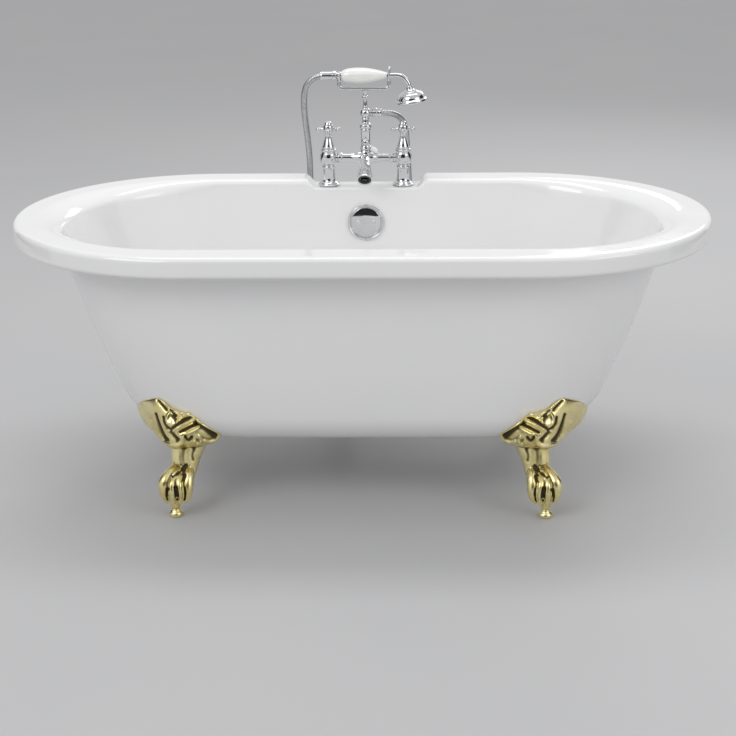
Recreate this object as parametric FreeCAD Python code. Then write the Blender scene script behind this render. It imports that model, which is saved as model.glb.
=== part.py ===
"""A double-ended roll-top bath on four claw feet, with a bath and shower mixer on its rim.

Millimetres, +Z up. The origin is on the floor under the middle of the bath. The bather's open side
faces -Y, the taps stand on the +Y rim, and +X is to the right of someone who looks along +Y.
"""

import FreeCAD, Part
import math
import os

V = FreeCAD.Vector

# ---------------------------------------------------------------- overall sizes
length = 1524.0  # over the rim, 60 in
width = 762.0  # over the rim, 30 in
rim_height = 610.0  # floor to the top of the rim, 24 in
end_ratio = 1.08  # how much longer than wide the half ellipse at each end is
fit = 0.3  # clearance between curved faces of separate pieces

# ---------------------------------------------------------------- rim and walls
rim_depth = 46.0  # height of the rim's outer face
rim_top_radius = 12.0
rim_bottom_radius = 11.0
rim_wall = 16.0  # rolled outer wall of the rim
sheet = 5.0  # thickness of the inner shell and of the rim's top
skin = 4.0  # thickness of the outer skin
wall_gap = 5.0  # between the inner shell and the outer skin
underside = 150.0  # floor to the underside of the bath
board_thickness = 19.0
end_overhang = 97.0  # from the outer skin to the rim's edge at the ends
side_overhang = 69.0  # the same along the sides
end_lean = 0.26  # how far the end wall moves in for each millimetre down
end_bow = 0.00025  # and how much faster it moves in lower down
side_lean = 0.10
side_bow = 0.00012
corner_height = 75.0  # height of the round between wall and bottom
rim_flat_end = 46.0  # width of the rim's top at the ends, to where it rolls in
rim_flat_side = 65.0  # the same along the sides
roll_height_end = 30.0
roll_height_side = 14.0

# ---------------------------------------------------------------- tap ledge
ledge_drop = 21.0  # how far the ledge lies under the rim's top
ledge_half = 120.0  # half the length of its level part
ledge_ramp = 28.0  # length of the S-shaped step at each end
tap_spacing = 177.8  # 7 in between the tap centres
tap_setback = 45.0  # from the rim's outer edge to the tap centres
tap_hole = 28.0
backing_thickness = 5.0
backing_margin = 24.0
skin_flange = 4.0
flange_rise = 2.0  # height of the skin's flange above the rim's lower edge
nut_access = 48.0  # hole in the skin's flange for a back nut

# ---------------------------------------------------------------- waste and overflow
waste_y = 100.0
waste_hole = 52.0
overflow_z = 508.0
overflow_hole = 48.0
overflow_plate_size = 87.0
pipe_size = 38.1  # 1-1/2 in tube
pipe_wall = 1.5
pipe_setback = 29.0  # from the rim's outer edge to the overflow tube's centre
waste_pipe_z = 92.0
tail_bottom = 14.0
stopper_size = 44.0

# ---------------------------------------------------------------- feet
foot_end_setback = 362.0  # from the rim's ends to the glides' centres
foot_side_setback = 110.0  # the same from its sides
foot_turn = 30.0  # degrees that a foot points away from straight forward
saddle_thickness = 10.0
leaf_play = 0.06  # how much farther off the skin the leaf stands than the leg
tongue_thickness = 9.0
tongue_width = 58.0
bolt_size = 10.0
bolt_reach = (158.0, 184.0)  # inwards from the glide to the two bolts
glide_size = 31.0
glide_height = 8.0
glide_stem = 12.0
locknut_size = 19.0

# ---------------------------------------------------------------- mixer
bridge_rise = 67.0  # heights above the ledge
handle_rise = 137.0
diverter_rise = 107.0
hub_rise = 174.0
cradle_rise = 231.0
handset_rise = 262.0
arm_reach = 24.0
tube_radius = 9.5
bridge_swell = 17.0  # radius of the bridge at its middle
spindle_radius = 4.0
prong_left = -61.0
prong_right = 57.0
bar_radius = 4.4
tine_radius = 2.8
ferrule_radius = 7.5
neck_radius = 5.8
neck_bend = 33.0
neck_turn = 81.0  # degrees
rose_size = 75.0
rose_height = 36.0
tail_size = 20.9  # 1/2 in pipe thread
tail_length = 62.0

# ---------------------------------------------------------------- hose
hose_size = 15.0
# The hose hangs from the hub, behind the rim, and comes up to the handset.
hose_route = [
    (26.0, 336.0, 763.0),
    (52.0, 338.0, 763.0),
    (78.0, 357.0, 753.0),
    (94.0, 379.0, 727.0),
    (97.0, 390.0, 690.0),
    (100.0, 402.0, 640.0),
    (102.0, 409.0, 588.0),
    (106.0, 411.0, 520.0),
    (106.0, 409.0, 440.0),
    (101.0, 407.0, 350.0),
    (88.0, 406.0, 262.0),
    (52.0, 405.0, 196.0),
    (-8.0, 404.0, 170.0),
    (-70.0, 405.0, 190.0),
    (-112.0, 406.0, 245.0),
    (-130.0, 407.0, 320.0),
    (-138.0, 408.0, 410.0),
    (-141.0, 409.0, 500.0),
    (-139.0, 411.0, 585.0),
    (-139.0, 399.0, 650.0),
    (-143.0, 376.0, 715.0),
    (-147.0, 358.0, 768.0),
    (-144.0, 345.0, 817.0),
    (-131.0, 339.0, 839.0),
    (-109.0, 336.5, 851.0),
    (-84.0, 336.0, 851.0),
]

# ---------------------------------------------------------------- worked out from those
half_length = length / 2
half_width = width / 2
rim_bottom = rim_height - rim_depth
ledge_top = rim_height - ledge_drop
tap_y = half_width - tap_setback
tap_x = tap_spacing / 2
pipe_y = half_width - pipe_setback
foot_x = half_length - foot_end_setback
foot_y = half_width - foot_side_setback
inner_inset = skin + wall_gap + sheet
shell_inset = skin + wall_gap
shell_floor = underside + skin + board_thickness
basin_floor = shell_floor + sheet


# ---------------------------------------------------------------- tools of the trade
def line(a, b):
    return Part.LineSegment(V(*a), V(*b)).toShape()


def arc(a, middle, b):
    return Part.Arc(V(*a), V(*middle), V(*b)).toShape()


def turned(*outline):
    """A solid turned about Z. Each item is (radius, height), or a round stretch given as
    (radius, height half way, radius, height)."""
    edges = []
    here = outline[0]
    for step in outline[1:]:
        end = step[-2:]
        if len(step) == 4:
            edges.append(arc((here[0], 0, here[1]), (step[0], 0, step[1]), (end[0], 0, end[1])))
        else:
            edges.append(line((here[0], 0, here[1]), (end[0], 0, end[1])))
        here = end
    edges.append(line((here[0], 0, here[1]), (outline[0][0], 0, outline[0][1])))
    return Part.Face(Part.Wire(edges)).revolve(V(0, 0, 0), V(0, 0, 1), 360)


def dome(radius, base, top):
    """The round stretch of an outline that closes a piece with part of a sphere."""
    rise = abs(top - base)
    sphere = (radius**2 + rise**2) / (2 * rise)
    half = math.asin(radius / sphere) / 2
    sag = math.copysign(sphere * (1 - math.cos(half)), top - base)
    return (sphere * math.sin(half), top - sag, 0, top)


def rod(radius, height, base=0.0):
    return Part.makeCylinder(radius, height, V(0, 0, base))


def ring(outer, inner, height, base=0.0):
    return rod(outer, height, base).cut(rod(inner, height, base))


def hexagon(across_flats, height, base=0.0):
    reach = across_flats / math.sqrt(3)
    corners = [
        V(reach * math.cos(math.radians(a)), reach * math.sin(math.radians(a)), base)
        for a in range(0, 361, 60)
    ]
    return Part.Face(Part.makePolygon(corners)).extrude(V(0, 0, height))


def placed(shape, origin, direction=(0, 0, 1)):
    """The shape with its own Z turned to the direction and its origin moved to a point."""
    shape = shape.copy()
    turn = FreeCAD.Rotation(V(0, 0, 1), V(*direction))
    shape.Placement = FreeCAD.Placement(V(*origin), turn).multiply(shape.Placement)
    return shape


def fused(shapes):
    return shapes[0].multiFuse(shapes[1:]).removeSplitter()


def route_edges(points):
    """Straight runs joined by tangent arcs, each as large as its two runs allow, and the radii."""
    points = [V(*p) for p in points]
    edges, radii = [], []
    here = points[0]
    for before, corner, after in zip(points, points[1:], points[2:]):
        back, on = before - corner, after - corner
        shorter = min(back.Length, on.Length)
        back.normalize()
        on.normalize()
        half_turn = (math.pi - back.getAngle(on)) / 2
        cut = 0.45 * shorter
        radius = cut / math.tan(half_turn)
        start, end = corner + back * cut, corner + on * cut
        inward = back + on
        inward.normalize()
        middle = corner + inward * (radius / math.cos(half_turn) - radius)
        edges.append(Part.LineSegment(here, start).toShape())
        edges.append(Part.Arc(start, middle, end).toShape())
        radii.append(radius)
        here = end
    edges.append(Part.LineSegment(here, points[-1]).toShape())
    return edges, radii


def tube_along(edges, radius):
    """A round bar along a path."""
    path = Part.Wire(edges)
    start = edges[0].Vertexes[0].Point
    direction = edges[0].tangentAt(edges[0].FirstParameter)
    circle = Part.Wire(Part.makeCircle(radius, start, direction))
    return path.makePipeShell([circle], True, False)


def loft_of_circles(sections):
    """A solid through circles. Each item is (centre, direction, radius)."""
    wires = [Part.Wire(Part.makeCircle(r, V(*c), V(*d))) for c, d, r in sections]
    return Part.makeLoft(wires, True)


# ---------------------------------------------------------------- the form of the bath
def plan(half_x, half_y, z):
    """The bath's outline at one height: straight sides and half an ellipse at each end."""
    middle = half_x - end_ratio * half_y
    right = Part.Ellipse(V(middle, 0, z), end_ratio * half_y, half_y)
    left = Part.Ellipse(V(-middle, 0, z), end_ratio * half_y, half_y)
    quarter = math.pi / 2
    return Part.Wire(
        [
            line((-middle, -half_y, z), (middle, -half_y, z)),
            Part.ArcOfEllipse(right, -quarter, quarter).toShape(),
            line((middle, half_y, z), (-middle, half_y, z)),
            Part.ArcOfEllipse(left, quarter, 3 * quarter).toShape(),
        ]
    )


def half_size(z, top_half, lean, bow, floor, inset):
    """Half the length or width of a wall at a height. The wall leans in on its way down, a
    little faster lower down, and turns into the bottom through an arc."""

    def wall(height):
        drop = rim_bottom - height
        slope = lean + 2 * bow * drop
        return top_half - lean * drop - bow * drop**2 - inset * math.hypot(1, slope)

    corner_top = floor + corner_height
    if z >= corner_top:
        return wall(z)
    angle = math.atan(lean + 2 * bow * (rim_bottom - corner_top))
    radius = corner_height / (1 - math.sin(angle))
    centre = wall(corner_top) - radius * math.cos(angle)
    return centre + math.sqrt(max(0.0, radius**2 - (floor + radius - z) ** 2))


def rolled_out(z, half, top, flat, roll_height):
    """Adds the roll that leads from a wall into the rim's level top."""
    into = (z - (top - roll_height)) / roll_height
    if into <= 0:
        return 0.0
    return (flat - half) * (1 - math.sqrt(max(0.0, 1 - into**2)))


def bath_form(inset, floor, top, rolled=False):
    """The solid inside one of the bath's surfaces: the round into the bottom, the wall and, if
    asked for, the roll into the rim, each lofted through outlines at a few even steps."""

    def outline(z):
        half_x = half_size(z, half_length - end_overhang, end_lean, end_bow, floor, inset)
        half_y = half_size(z, half_width - side_overhang, side_lean, side_bow, floor, inset)
        if rolled:
            outward = inner_inset - inset
            flat_x = half_length - rim_flat_end + outward
            flat_y = half_width - rim_flat_side + outward
            half_x += rolled_out(z, half_x, top, flat_x, roll_height_end)
            half_y += rolled_out(z, half_y, top, flat_y, roll_height_side)
        return plan(half_x, half_y, z)

    def even(low, high, steps, from_level=False, to_level=False):
        """Heights between two, closer together where the form runs level."""
        for step in range(steps + 1):
            share = step / steps
            if from_level:
                share = 1 - math.cos(share * math.pi / 2)
            if to_level:
                share = math.sin(share * math.pi / 2)
            yield low + (high - low) * share

    corner_top = floor + corner_height
    wall_top = top - roll_height_end if rolled else top
    stages = [even(floor, corner_top, 5, from_level=True), even(corner_top, wall_top, 3)]
    if rolled:
        side_start = top - roll_height_side
        stages.append(even(wall_top, side_start, 2))
        stages.append(even(side_start, top, 4, to_level=True))
    return fused([Part.makeLoft([outline(z) for z in stage], True) for stage in stages])


def ledge_tool(level, ramp_shift):
    """What is taken from the rim above a level to leave the ledge, with an S-shaped step at
    each end. ramp_shift widens it."""
    top = level + ledge_drop
    inner, outer = ledge_half + ramp_shift, ledge_half + ledge_ramp + ramp_shift
    middle, half = (inner + outer) / 2, (level + top) / 2
    run, rise = ledge_ramp / 2, ledge_drop / 2
    radius = (run**2 + rise**2) / (2 * rise)
    sweep = math.asin(run / radius) / 2
    across, down = radius * math.sin(sweep), radius * (1 - math.cos(sweep))
    y = half_width - 2 * tap_setback

    def ramp(side):
        low = [(inner, level), (inner + across, level + down), (middle, half)]
        high = [(middle, half), (outer - across, top - down), (outer, top)]
        return [arc(*[(side * x, y, z) for x, z in points]) for points in (low, high)]

    edges = [line((-inner, y, level), (inner, y, level))]
    edges += ramp(1)
    edges += [line((outer, y, top), (outer, y, top + ledge_drop))]
    edges += [line((outer, y, top + ledge_drop), (-outer, y, top + ledge_drop))]
    edges += [line((-outer, y, top + ledge_drop), (-outer, y, top))]
    edges += ramp(-1)
    return Part.Face(Part.Wire(Part.__sortEdges__(edges))).extrude(V(0, 3 * tap_setback, 0))


def prism(half_x, half_y, low, high):
    return Part.Face(plan(half_x, half_y, low)).extrude(V(0, 0, high - low))


# where the overflow's axis meets the inner wall, and the way the wall faces there
overflow_slope = side_lean + 2 * side_bow * (rim_bottom - overflow_z)
overflow_tilt = math.atan(overflow_slope)
overflow_wall_y = half_size(
    overflow_z, half_width - side_overhang, side_lean, side_bow, basin_floor, inner_inset
)
overflow_axis = (0, -math.cos(overflow_tilt), math.sin(overflow_tilt))
overflow_out = (0, math.cos(overflow_tilt), -math.sin(overflow_tilt))


def along_overflow(distance):
    """A point on the overflow's axis, measured from the inner wall towards the bather."""
    return tuple(
        base + distance * step
        for base, step in zip((0, overflow_wall_y, overflow_z), overflow_axis)
    )


def basin():
    """The inner shell, its rolled rim and the ledge for the taps."""
    block = prism(half_length, half_width, rim_bottom, rim_height)
    block = block.cut(ledge_tool(ledge_top, 0))
    low = [e for e in block.Edges if e.BoundBox.ZMax < rim_bottom + 0.01]
    block = block.makeFillet(rim_bottom_radius, low)
    high = [
        e
        for e in block.Edges
        if e.BoundBox.ZMin > ledge_top - 0.01
        and not (abs(e.BoundBox.YMax) < half_width - 1 and abs(e.BoundBox.XMax) < half_length / 2)
    ]
    block = block.makeFillet(rim_top_radius, high)
    outside = bath_form(shell_inset, shell_floor, rim_height - sheet, rolled=True)
    hollow = prism(half_length - rim_wall, half_width - rim_wall, rim_bottom - 1, rim_height - sheet)
    hollow = hollow.cut(ledge_tool(ledge_top - sheet, sheet)).cut(outside)
    cavity = bath_form(inner_inset, basin_floor, rim_height, rolled=True)
    shape = block.fuse(outside).cut(hollow).cut(cavity).cut(ledge_tool(ledge_top, 0))
    for side in (-1, 1):
        drill = placed(rod(tap_hole / 2, 3 * sheet), (side * tap_x, tap_y, ledge_top - 2 * sheet))
        shape = shape.cut(drill)
    shape = shape.cut(placed(rod(waste_hole / 2, 3 * sheet), (0, waste_y, shell_floor - sheet)))
    drill = placed(rod(overflow_hole / 2, 4 * sheet), along_overflow(2 * sheet), overflow_out)
    return shape.cut(drill)


def outer_skin():
    """The outside skin, with a flange that closes the rim from below."""
    outside = bath_form(0, underside, rim_bottom + flange_rise + skin_flange)
    inside = bath_form(skin, underside + skin, rim_bottom + flange_rise + skin_flange)
    collar = prism(
        half_length - rim_wall - fit,
        half_width - rim_wall - fit,
        rim_bottom + flange_rise,
        rim_bottom + flange_rise + skin_flange,
    )
    shape = outside.fuse(collar).cut(inside)
    for side in (-1, 1):
        access = rod(nut_access / 2, 4 * skin_flange)
        shape = shape.cut(placed(access, (side * tap_x, tap_y, rim_bottom - skin_flange)))
    shape = shape.cut(placed(rod(waste_hole / 2, 3 * skin), (0, waste_y, underside - skin)))
    reach = 2 * inner_inset
    drill = placed(rod(overflow_hole / 2, 2 * reach), along_overflow(reach / 2), overflow_out)
    shape = shape.cut(drill)
    for foot in foot_frames():
        for reach in bolt_reach:
            x, y = foot.point(-reach)
            shape = shape.cut(placed(rod(bolt_size / 2 + fit, 3 * skin), (x, y, underside - skin)))
    return shape


def base_board():
    """The stiffening board under the inner shell, drilled for the feet and the waste."""
    edge = 12.0
    flat_x = half_size(underside, half_length - end_overhang, end_lean, end_bow, underside, skin)
    flat_y = half_size(underside, half_width - side_overhang, side_lean, side_bow, underside, skin)
    low = underside + skin
    shape = prism(flat_x - edge, flat_y - edge / 2, low, low + board_thickness)
    shape = shape.cut(placed(rod(waste_hole / 2 + edge, board_thickness), (0, waste_y, low)))
    for foot in foot_frames():
        for reach in bolt_reach:
            x, y = foot.point(-reach)
            shape = shape.cut(placed(rod(bolt_size / 2 + 3, board_thickness), (x, y, low)))
    return shape


def ledge_backing_plate():
    """The plate that spreads the load of the taps under the ledge."""
    low = ledge_top - sheet - backing_thickness
    room = half_width - rim_wall - fit
    near = tap_y - tap_hole / 2 - 3
    plate = Part.makeBox(
        tap_spacing + 2 * backing_margin,
        room - near,
        backing_thickness,
        V(-tap_x - backing_margin, near, low),
    )
    for side in (-1, 1):
        hole = placed(rod(tap_hole / 2, backing_thickness), (side * tap_x, tap_y, low))
        plate = plate.cut(hole)
    return plate


# ---------------------------------------------------------------- feet
class FootFrame:
    """Where a foot stands: its glide's centre, and the way that it points."""

    def __init__(self, name, side_x, side_y):
        self.name, self.side_x, self.side_y = name, side_x, side_y
        turn = math.radians(foot_turn)
        self.outward = V(side_x * math.sin(turn), side_y * math.cos(turn), 0)

    def point(self, out):
        """The plan position at a distance outwards from the glide."""
        return (
            self.side_x * foot_x + out * self.outward.x,
            self.side_y * foot_y + out * self.outward.y,
        )


def foot_frames():
    return [
        FootFrame("front_left", -1, -1),
        FootFrame("front_right", 1, -1),
        FootFrame("back_left", -1, 1),
        FootFrame("back_right", 1, 1),
    ]


def oval(out, across, z, radial, lateral, tilt=0.0):
    """An ellipse across a leg: out along the foot, across it, at a height, with its two half
    sizes, tipped about the lateral axis."""
    big, small = max(radial, lateral), min(radial, lateral)
    curve = Part.Ellipse(V(0, 0, 0), big, small)
    wire = Part.Wire(curve.toShape())
    if lateral > radial:
        wire.rotate(V(0, 0, 0), V(0, 0, 1), 90)
    wire.rotate(V(0, 0, 0), V(0, 1, 0), tilt)
    wire.translate(V(out, across, z))
    return wire


def claw_foot():
    """A foot in its own frame: +X is outwards, +Y across, and the glide's centre is the origin.
    A lobe bulges up towards the bath's end, the leg sways in to the ankle, and four toes
    grip a pad."""
    leg = Part.makeLoft(
        [
            oval(-50, 4, 215, 44, 56),
            oval(-48, 2, 182, 39, 49),
            oval(-45, 0, 150, 31, 37),
            oval(-36, 0, 124, 24, 27),
            oval(-25, 0, 102, 26, 27),
            oval(-9, 0, 80, 35, 39),
            oval(-3, 0, 58, 35, 40),
            oval(-2, 0, 38, 28, 32),
        ],
        True,
    )
    bulge = loft_of_circles(
        [
            ((-50, 28, 150.7), (0, 1, 0.1), 26),
            ((-55, 52, 154.7), (-0.1, 1, 0.25), 24),
            ((-58, 82, 164.7), (-0.1, 1, 0.35), 20),
            ((-64, 112, 175.7), (-0.2, 1, 0.4), 16),
            ((-70, 138, 187.7), (-0.2, 1, 0.5), 10),
        ]
    )
    pieces = [leg]
    for across, knuckle in ((-29, 16), (-10.5, 24), (10.5, 24), (29, 16)):
        toe = Part.makeLoft(
            [
                oval(knuckle - 14, across * 0.7, 102, 8, 8, -40),
                oval(knuckle + 4, across * 0.9, 88, 12, 10, -25),
                oval(knuckle + 14, across, 68, 13, 11, -5),
                oval(knuckle + 15, across * 1.12, 48, 11, 9.5, 5),
                oval(knuckle + 17, across * 1.16, 33, 6, 5.5, 10),
            ],
            True,
        )
        pieces.append(toe)
    return fused(pieces).fuse(bulge)


def saddle_outline():
    """The leaf's outline in the plane across the foot, as (across, height)."""
    points = [
        (130, 215),
        (110, 231),
        (76, 249),
        (46, 260),
        (24, 253),
        (8, 241),
        (-14, 236),
        (-38, 229),
        (-52, 216),
        (-68, 200),
        (-84, 183),
        (-50, 160),
        (0, 152),
        (60, 152),
        (110, 160),
        (150, 178),
        (148, 198),
    ]
    curve = Part.BSplineCurve()
    curve.interpolate([V(0, across, z) for across, z in points], PeriodicFlag=True)
    return Part.Face(Part.Wire(curve.toShape()))


def foot_solid(frame, near_form, leaf_form, far_form):
    """One foot where it stands, cut to the bath's own form."""
    # the drawing is for the front right foot; side_x * side_y < 0 is its own hand
    own_hand = frame.side_x * frame.side_y < 0
    turn = FreeCAD.Rotation(V(1, 0, 0), frame.outward)
    at = FreeCAD.Placement(V(*frame.point(0), 0), turn)

    def set_down(shape):
        if not own_hand:
            shape = shape.mirror(V(0, 0, 0), V(0, 1, 0))
        shape = shape.copy()
        shape.Placement = at.multiply(shape.Placement)
        return shape

    leg = set_down(claw_foot())
    leaf = set_down(saddle_outline().extrude(V(-150, 0, 0)))
    leaf = leaf.common(far_form).cut(leaf_form)
    inward = bolt_reach[1] + bolt_size * 1.5
    tongue = Part.makeBox(
        inward - 40, tongue_width, tongue_thickness, V(-inward, -tongue_width / 2, underside - fit)
    )
    tongue.translate(V(0, 0, -tongue_thickness))
    tongue = set_down(tongue)
    shape = leg.fuse(tongue).cut(near_form).fuse(leaf)
    for reach in bolt_reach:
        x, y = frame.point(-reach)
        hole = rod(bolt_size / 2 + fit, 3 * tongue_thickness)
        shape = shape.cut(placed(hole, (x, y, underside - 2 * tongue_thickness)))
    stem_hole = placed(rod(glide_stem / 2 + fit, 60), (*frame.point(0), 0))
    shape = shape.cut(stem_hole)
    solids = sorted(shape.Solids, key=lambda s: s.Volume)
    return solids[-1]


def leveller():
    """A levelling glide with its threaded stem."""
    half = glide_size / 2
    disc = turned(
        (0, 0),
        (half - 2, 0),
        (half, 1.5),
        (half, glide_height - 3),
        (half * 0.9, glide_height - 1, glide_stem / 2 + 1, glide_height),
        (0, glide_height),
    )
    return disc.fuse(rod(glide_stem / 2, 48, glide_height)).removeSplitter()


# ---------------------------------------------------------------- waste and overflow
def tube(diameter, height, base=0.0):
    return ring(diameter / 2, diameter / 2 - pipe_wall, height, base)


def overflow_plate():
    half = overflow_plate_size / 2
    plate = turned(
        (0, 2),
        (half - 8, 2),
        (half - 5, 0),
        (half, 0),
        (half, 3),
        (half - 1, 6.5, half - 4.5, 7),
        (half - 7, 4.5),
        dome(half - 7, 4.5, 8),
    )
    for side in (-1, 1):
        plate = plate.cut(placed(rod(2.8, 12), (side * 18, 0, 0)))
    slot = Part.makeBox(30, 8, 6, V(-15, -half - 4, -1))
    return placed(plate.cut(slot), along_overflow(fit), overflow_axis)


def overflow_screws():
    screw = turned((0, -6), (2.4, -6), (2.4, 7.6), (4.5, 7.6), dome(4.5, 7.6, 9.8))
    return [
        placed(placed(screw, (side * 18, 0, 0)), along_overflow(fit), overflow_axis)
        for side in (-1, 1)
    ]


def overflow_gasket():
    behind = shell_inset + sheet + 0.2
    seal = ring(34, 23, 4)
    return placed(seal, along_overflow(-behind), overflow_out)


elbow_face = shell_inset + sheet + 4.4  # behind the inner wall
elbow_cup_top = overflow_z - (pipe_y - along_overflow(-elbow_face)[1]) - 8


def overflow_elbow():
    """The cast elbow behind the skin that turns the overflow down into its tube."""
    start = V(*along_overflow(-elbow_face))
    flange = placed(ring(34, 19, 6), tuple(start), overflow_out)
    cup_top = elbow_cup_top
    neck = 6.0  # straight run before the bend
    level = start.z - neck * overflow_slope
    reach = pipe_y - start.y - neck
    near, far = reach * math.cos(math.pi / 4), reach * (1 - math.cos(math.pi / 4))
    path = [
        line(tuple(start), (0, start.y + neck, level)),
        arc(
            (0, start.y + neck, level),
            (0, start.y + neck + near, level - far),
            (0, pipe_y, level - reach),
        ),
        line((0, pipe_y, level - reach), (0, pipe_y, cup_top - 30)),
    ]
    outer = tube_along(path, pipe_size / 2 + 2)
    inner = tube_along(path, pipe_size / 2 - pipe_wall)
    cup = placed(rod(pipe_size / 2 + fit, 34), (0, pipe_y, cup_top - 40))  # through the end
    return flange.fuse(outer).cut(inner).cut(cup).removeSplitter()


def overflow_pipe():
    top, bottom = elbow_cup_top - 16, waste_pipe_z + 34
    return placed(tube(pipe_size, top - bottom), (0, pipe_y, bottom))


def waste_flange():
    """The waste's body: a flange in the bath's bottom and a threaded neck through it."""
    shape = turned(
        (stopper_size / 2 - 3, -42),
        (waste_hole / 2 - 2, -42),
        (waste_hole / 2 - 2, 0.2),
        (35, 0.2),
        (34, 3, 30, 3.4),
        (stopper_size / 2 + 1, 2.4),
        (stopper_size / 2 + 1, -4),
        (stopper_size / 2 - 3, -7),
    )
    cross = Part.makeBox(stopper_size - 4, 4, 5, V(2 - stopper_size / 2, -2, -20))
    boss = rod(6, 8, -22)
    spider = cross.fuse(cross.copy().rotated(V(0, 0, 0), V(0, 0, 1), 90)).fuse(boss)
    spider = spider.cut(rod(3.3, 30, -30))
    return placed(shape.fuse(spider).removeSplitter(), (0, waste_y, basin_floor))


def waste_gasket():
    return placed(ring(33, waste_hole / 2, 3.6), (0, waste_y, underside - 3.8))


def waste_shoe():
    """The elbow under the bath that takes the waste's neck and turns it towards the wall."""
    top = underside - 4.0
    drop = top - waste_pipe_z
    neck_outer = waste_hole / 2 + 2
    body = placed(rod(neck_outer, drop + 22), (0, waste_y, waste_pipe_z - 22))
    body = body.fuse(placed(rod(33, 5), (0, waste_y, top - 5)))
    branch = placed(rod(pipe_size / 2 + 3.5, 60), (0, waste_y, waste_pipe_z), (0, 1, 0))
    bore = placed(rod(waste_hole / 2 - 1.9, drop + 19), (0, waste_y, waste_pipe_z - 19))
    bore = bore.fuse(placed(rod(pipe_size / 2 + 0.1, 70), (0, waste_y, waste_pipe_z), (0, 1, 0)))
    return body.fuse(branch).cut(bore).removeSplitter()


def waste_pipe():
    start, end = waste_y + 34, pipe_y - 34
    return placed(tube(pipe_size, end - start), (0, start, waste_pipe_z), (0, 1, 0))


def waste_tee():
    """The tee under the overflow tube. Its branch is a little slimmer than its run."""
    half = 38.0
    run, branch = pipe_size / 2 + 4.0, pipe_size / 2 + 3.0
    outer = placed(rod(run, 2 * half), (0, pipe_y, waste_pipe_z - half))
    outer = outer.fuse(placed(rod(branch, half + 8), (0, pipe_y, waste_pipe_z), (0, -1, 0)))
    run, branch = pipe_size / 2 + fit, pipe_size / 2 + fit / 2
    bore = placed(rod(run, 2 * half), (0, pipe_y, waste_pipe_z - half))
    bore = bore.fuse(placed(rod(branch, half + 8), (0, pipe_y, waste_pipe_z), (0, -1, 0)))
    return outer.cut(bore).removeSplitter()


def waste_tailpiece():
    outer, top, free_end = pipe_size / 2, waste_pipe_z - 26, waste_pipe_z - 52.4
    tail = turned(
        (outer - pipe_wall, tail_bottom),
        (outer, tail_bottom),
        (outer, free_end),
        (outer - fit, free_end),
        (outer - fit, top),
        (outer - pipe_wall, top),
    )
    return placed(tail, (0, pipe_y, 0))


def slip_nuts():
    """The nuts that close the joints of the waste's tubes."""

    def nut():
        size = pipe_size / 2
        body = hexagon(2 * size + 18, 14).common(rod(size + 9.6, 14))
        return body.cut(rod(size + 0.2, 14))

    return [
        placed(nut(), (0, waste_y + 60.2, waste_pipe_z), (0, 1, 0)),
        placed(nut(), (0, pipe_y - 46.2, waste_pipe_z), (0, -1, 0)),
        placed(nut(), (0, pipe_y, waste_pipe_z + 38.2)),
        placed(nut(), (0, pipe_y, waste_pipe_z - 38.2), (0, 0, -1)),
    ]


def stopper():
    """The push-down plug, on its stem."""
    half = stopper_size / 2
    cap = turned((0, -3), (half, -3), (half, 1), dome(half, 1, 4))
    stem = rod(3, 26, -29)
    return placed(cap.fuse(stem).removeSplitter(), (0, waste_y, basin_floor - 1.4))


# ---------------------------------------------------------------- mixer
def on_ledge(shape, x=0.0, y=0.0, rise=0.0, direction=(0, 0, 1)):
    return placed(shape, (x, tap_y + y, ledge_top + rise), direction)


spigot_end = tap_x - 66.0  # from a pillar's axis to where the bridge starts


def pillar(side):
    """A pillar: a flared foot, a stem, and a round valve body with the bridge's spigot."""
    shape = turned(
        (0, 1),
        (25.5, 1),
        (25.5, 3.5),
        (17.5, 10, 14, 28),
        (13.2, 46),
        (15.5, 47),
        (15.5, 51),
        (20.5, bridge_rise, 16, 84),
        (18.5, 85),
        (18.5, 89),
        (0, 89),
    )
    spigot = placed(rod(11.5, spigot_end), (0, 0, bridge_rise), (-side, 0, 0))
    cup = rod(spindle_radius + fit, 40, 62)
    return on_ledge(shape.fuse(spigot).removeSplitter().cut(cup), side * tap_x)


def deck_seals():
    return [on_ledge(ring(22, 11, 1), side * tap_x) for side in (-1, 1)]


def tap_tails():
    """The threaded tails that carry the water up through the ledge."""
    radius, bore = tail_size / 2, 7.5
    free_end = -(sheet + backing_thickness + 9.6)  # just under the back nut
    tail = turned(
        (bore, -tail_length),
        (radius, -tail_length),
        (radius, free_end),
        (radius - 0.2, free_end),
        (radius - 0.2, 0.8),
        (0, 0.8),
        (0, -8),
        (bore, -8),
    )
    return [on_ledge(tail, side * tap_x) for side in (-1, 1)]


def back_nuts():
    low = -(sheet + backing_thickness + 9.2)
    nut = hexagon(30, 9, low).cut(rod(tail_size / 2 + 0.1, 9, low))
    return [on_ledge(nut, side * tap_x) for side in (-1, 1)]


def bridge_body():
    """The bridge between the pillars, which swells at its middle, and the mixing body."""
    half = tap_x - spigot_end
    bridge = turned(
        (0, -half),
        (12.5, -half),
        (12.5, -half + 9),
        (tube_radius, -half + 11),
        (tube_radius, -34),
        (12, -24, bridge_swell, -14),
        (bridge_swell, 14),
        (12, 24, tube_radius, 34),
        (tube_radius, half - 11),
        (12.5, half - 9),
        (12.5, half),
        (0, half),
    )
    bridge = placed(bridge, (0, 0, bridge_rise), (1, 0, 0))
    body = turned((0, 48), (10, 50), (15, 56), (15.5, 80), (13, 86), (0, 86))
    return on_ledge(bridge.fuse(body).removeSplitter())


def bonnets():
    bonnet = turned(
        (spindle_radius + fit, 89),
        (14, 89),
        (14, 94),
        (12, 95),
        (11, 104, 7.2, 114),
        (7.2, 117),
        (spindle_radius + fit, 117),
    )
    return [on_ledge(bonnet, side * tap_x) for side in (-1, 1)]


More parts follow.
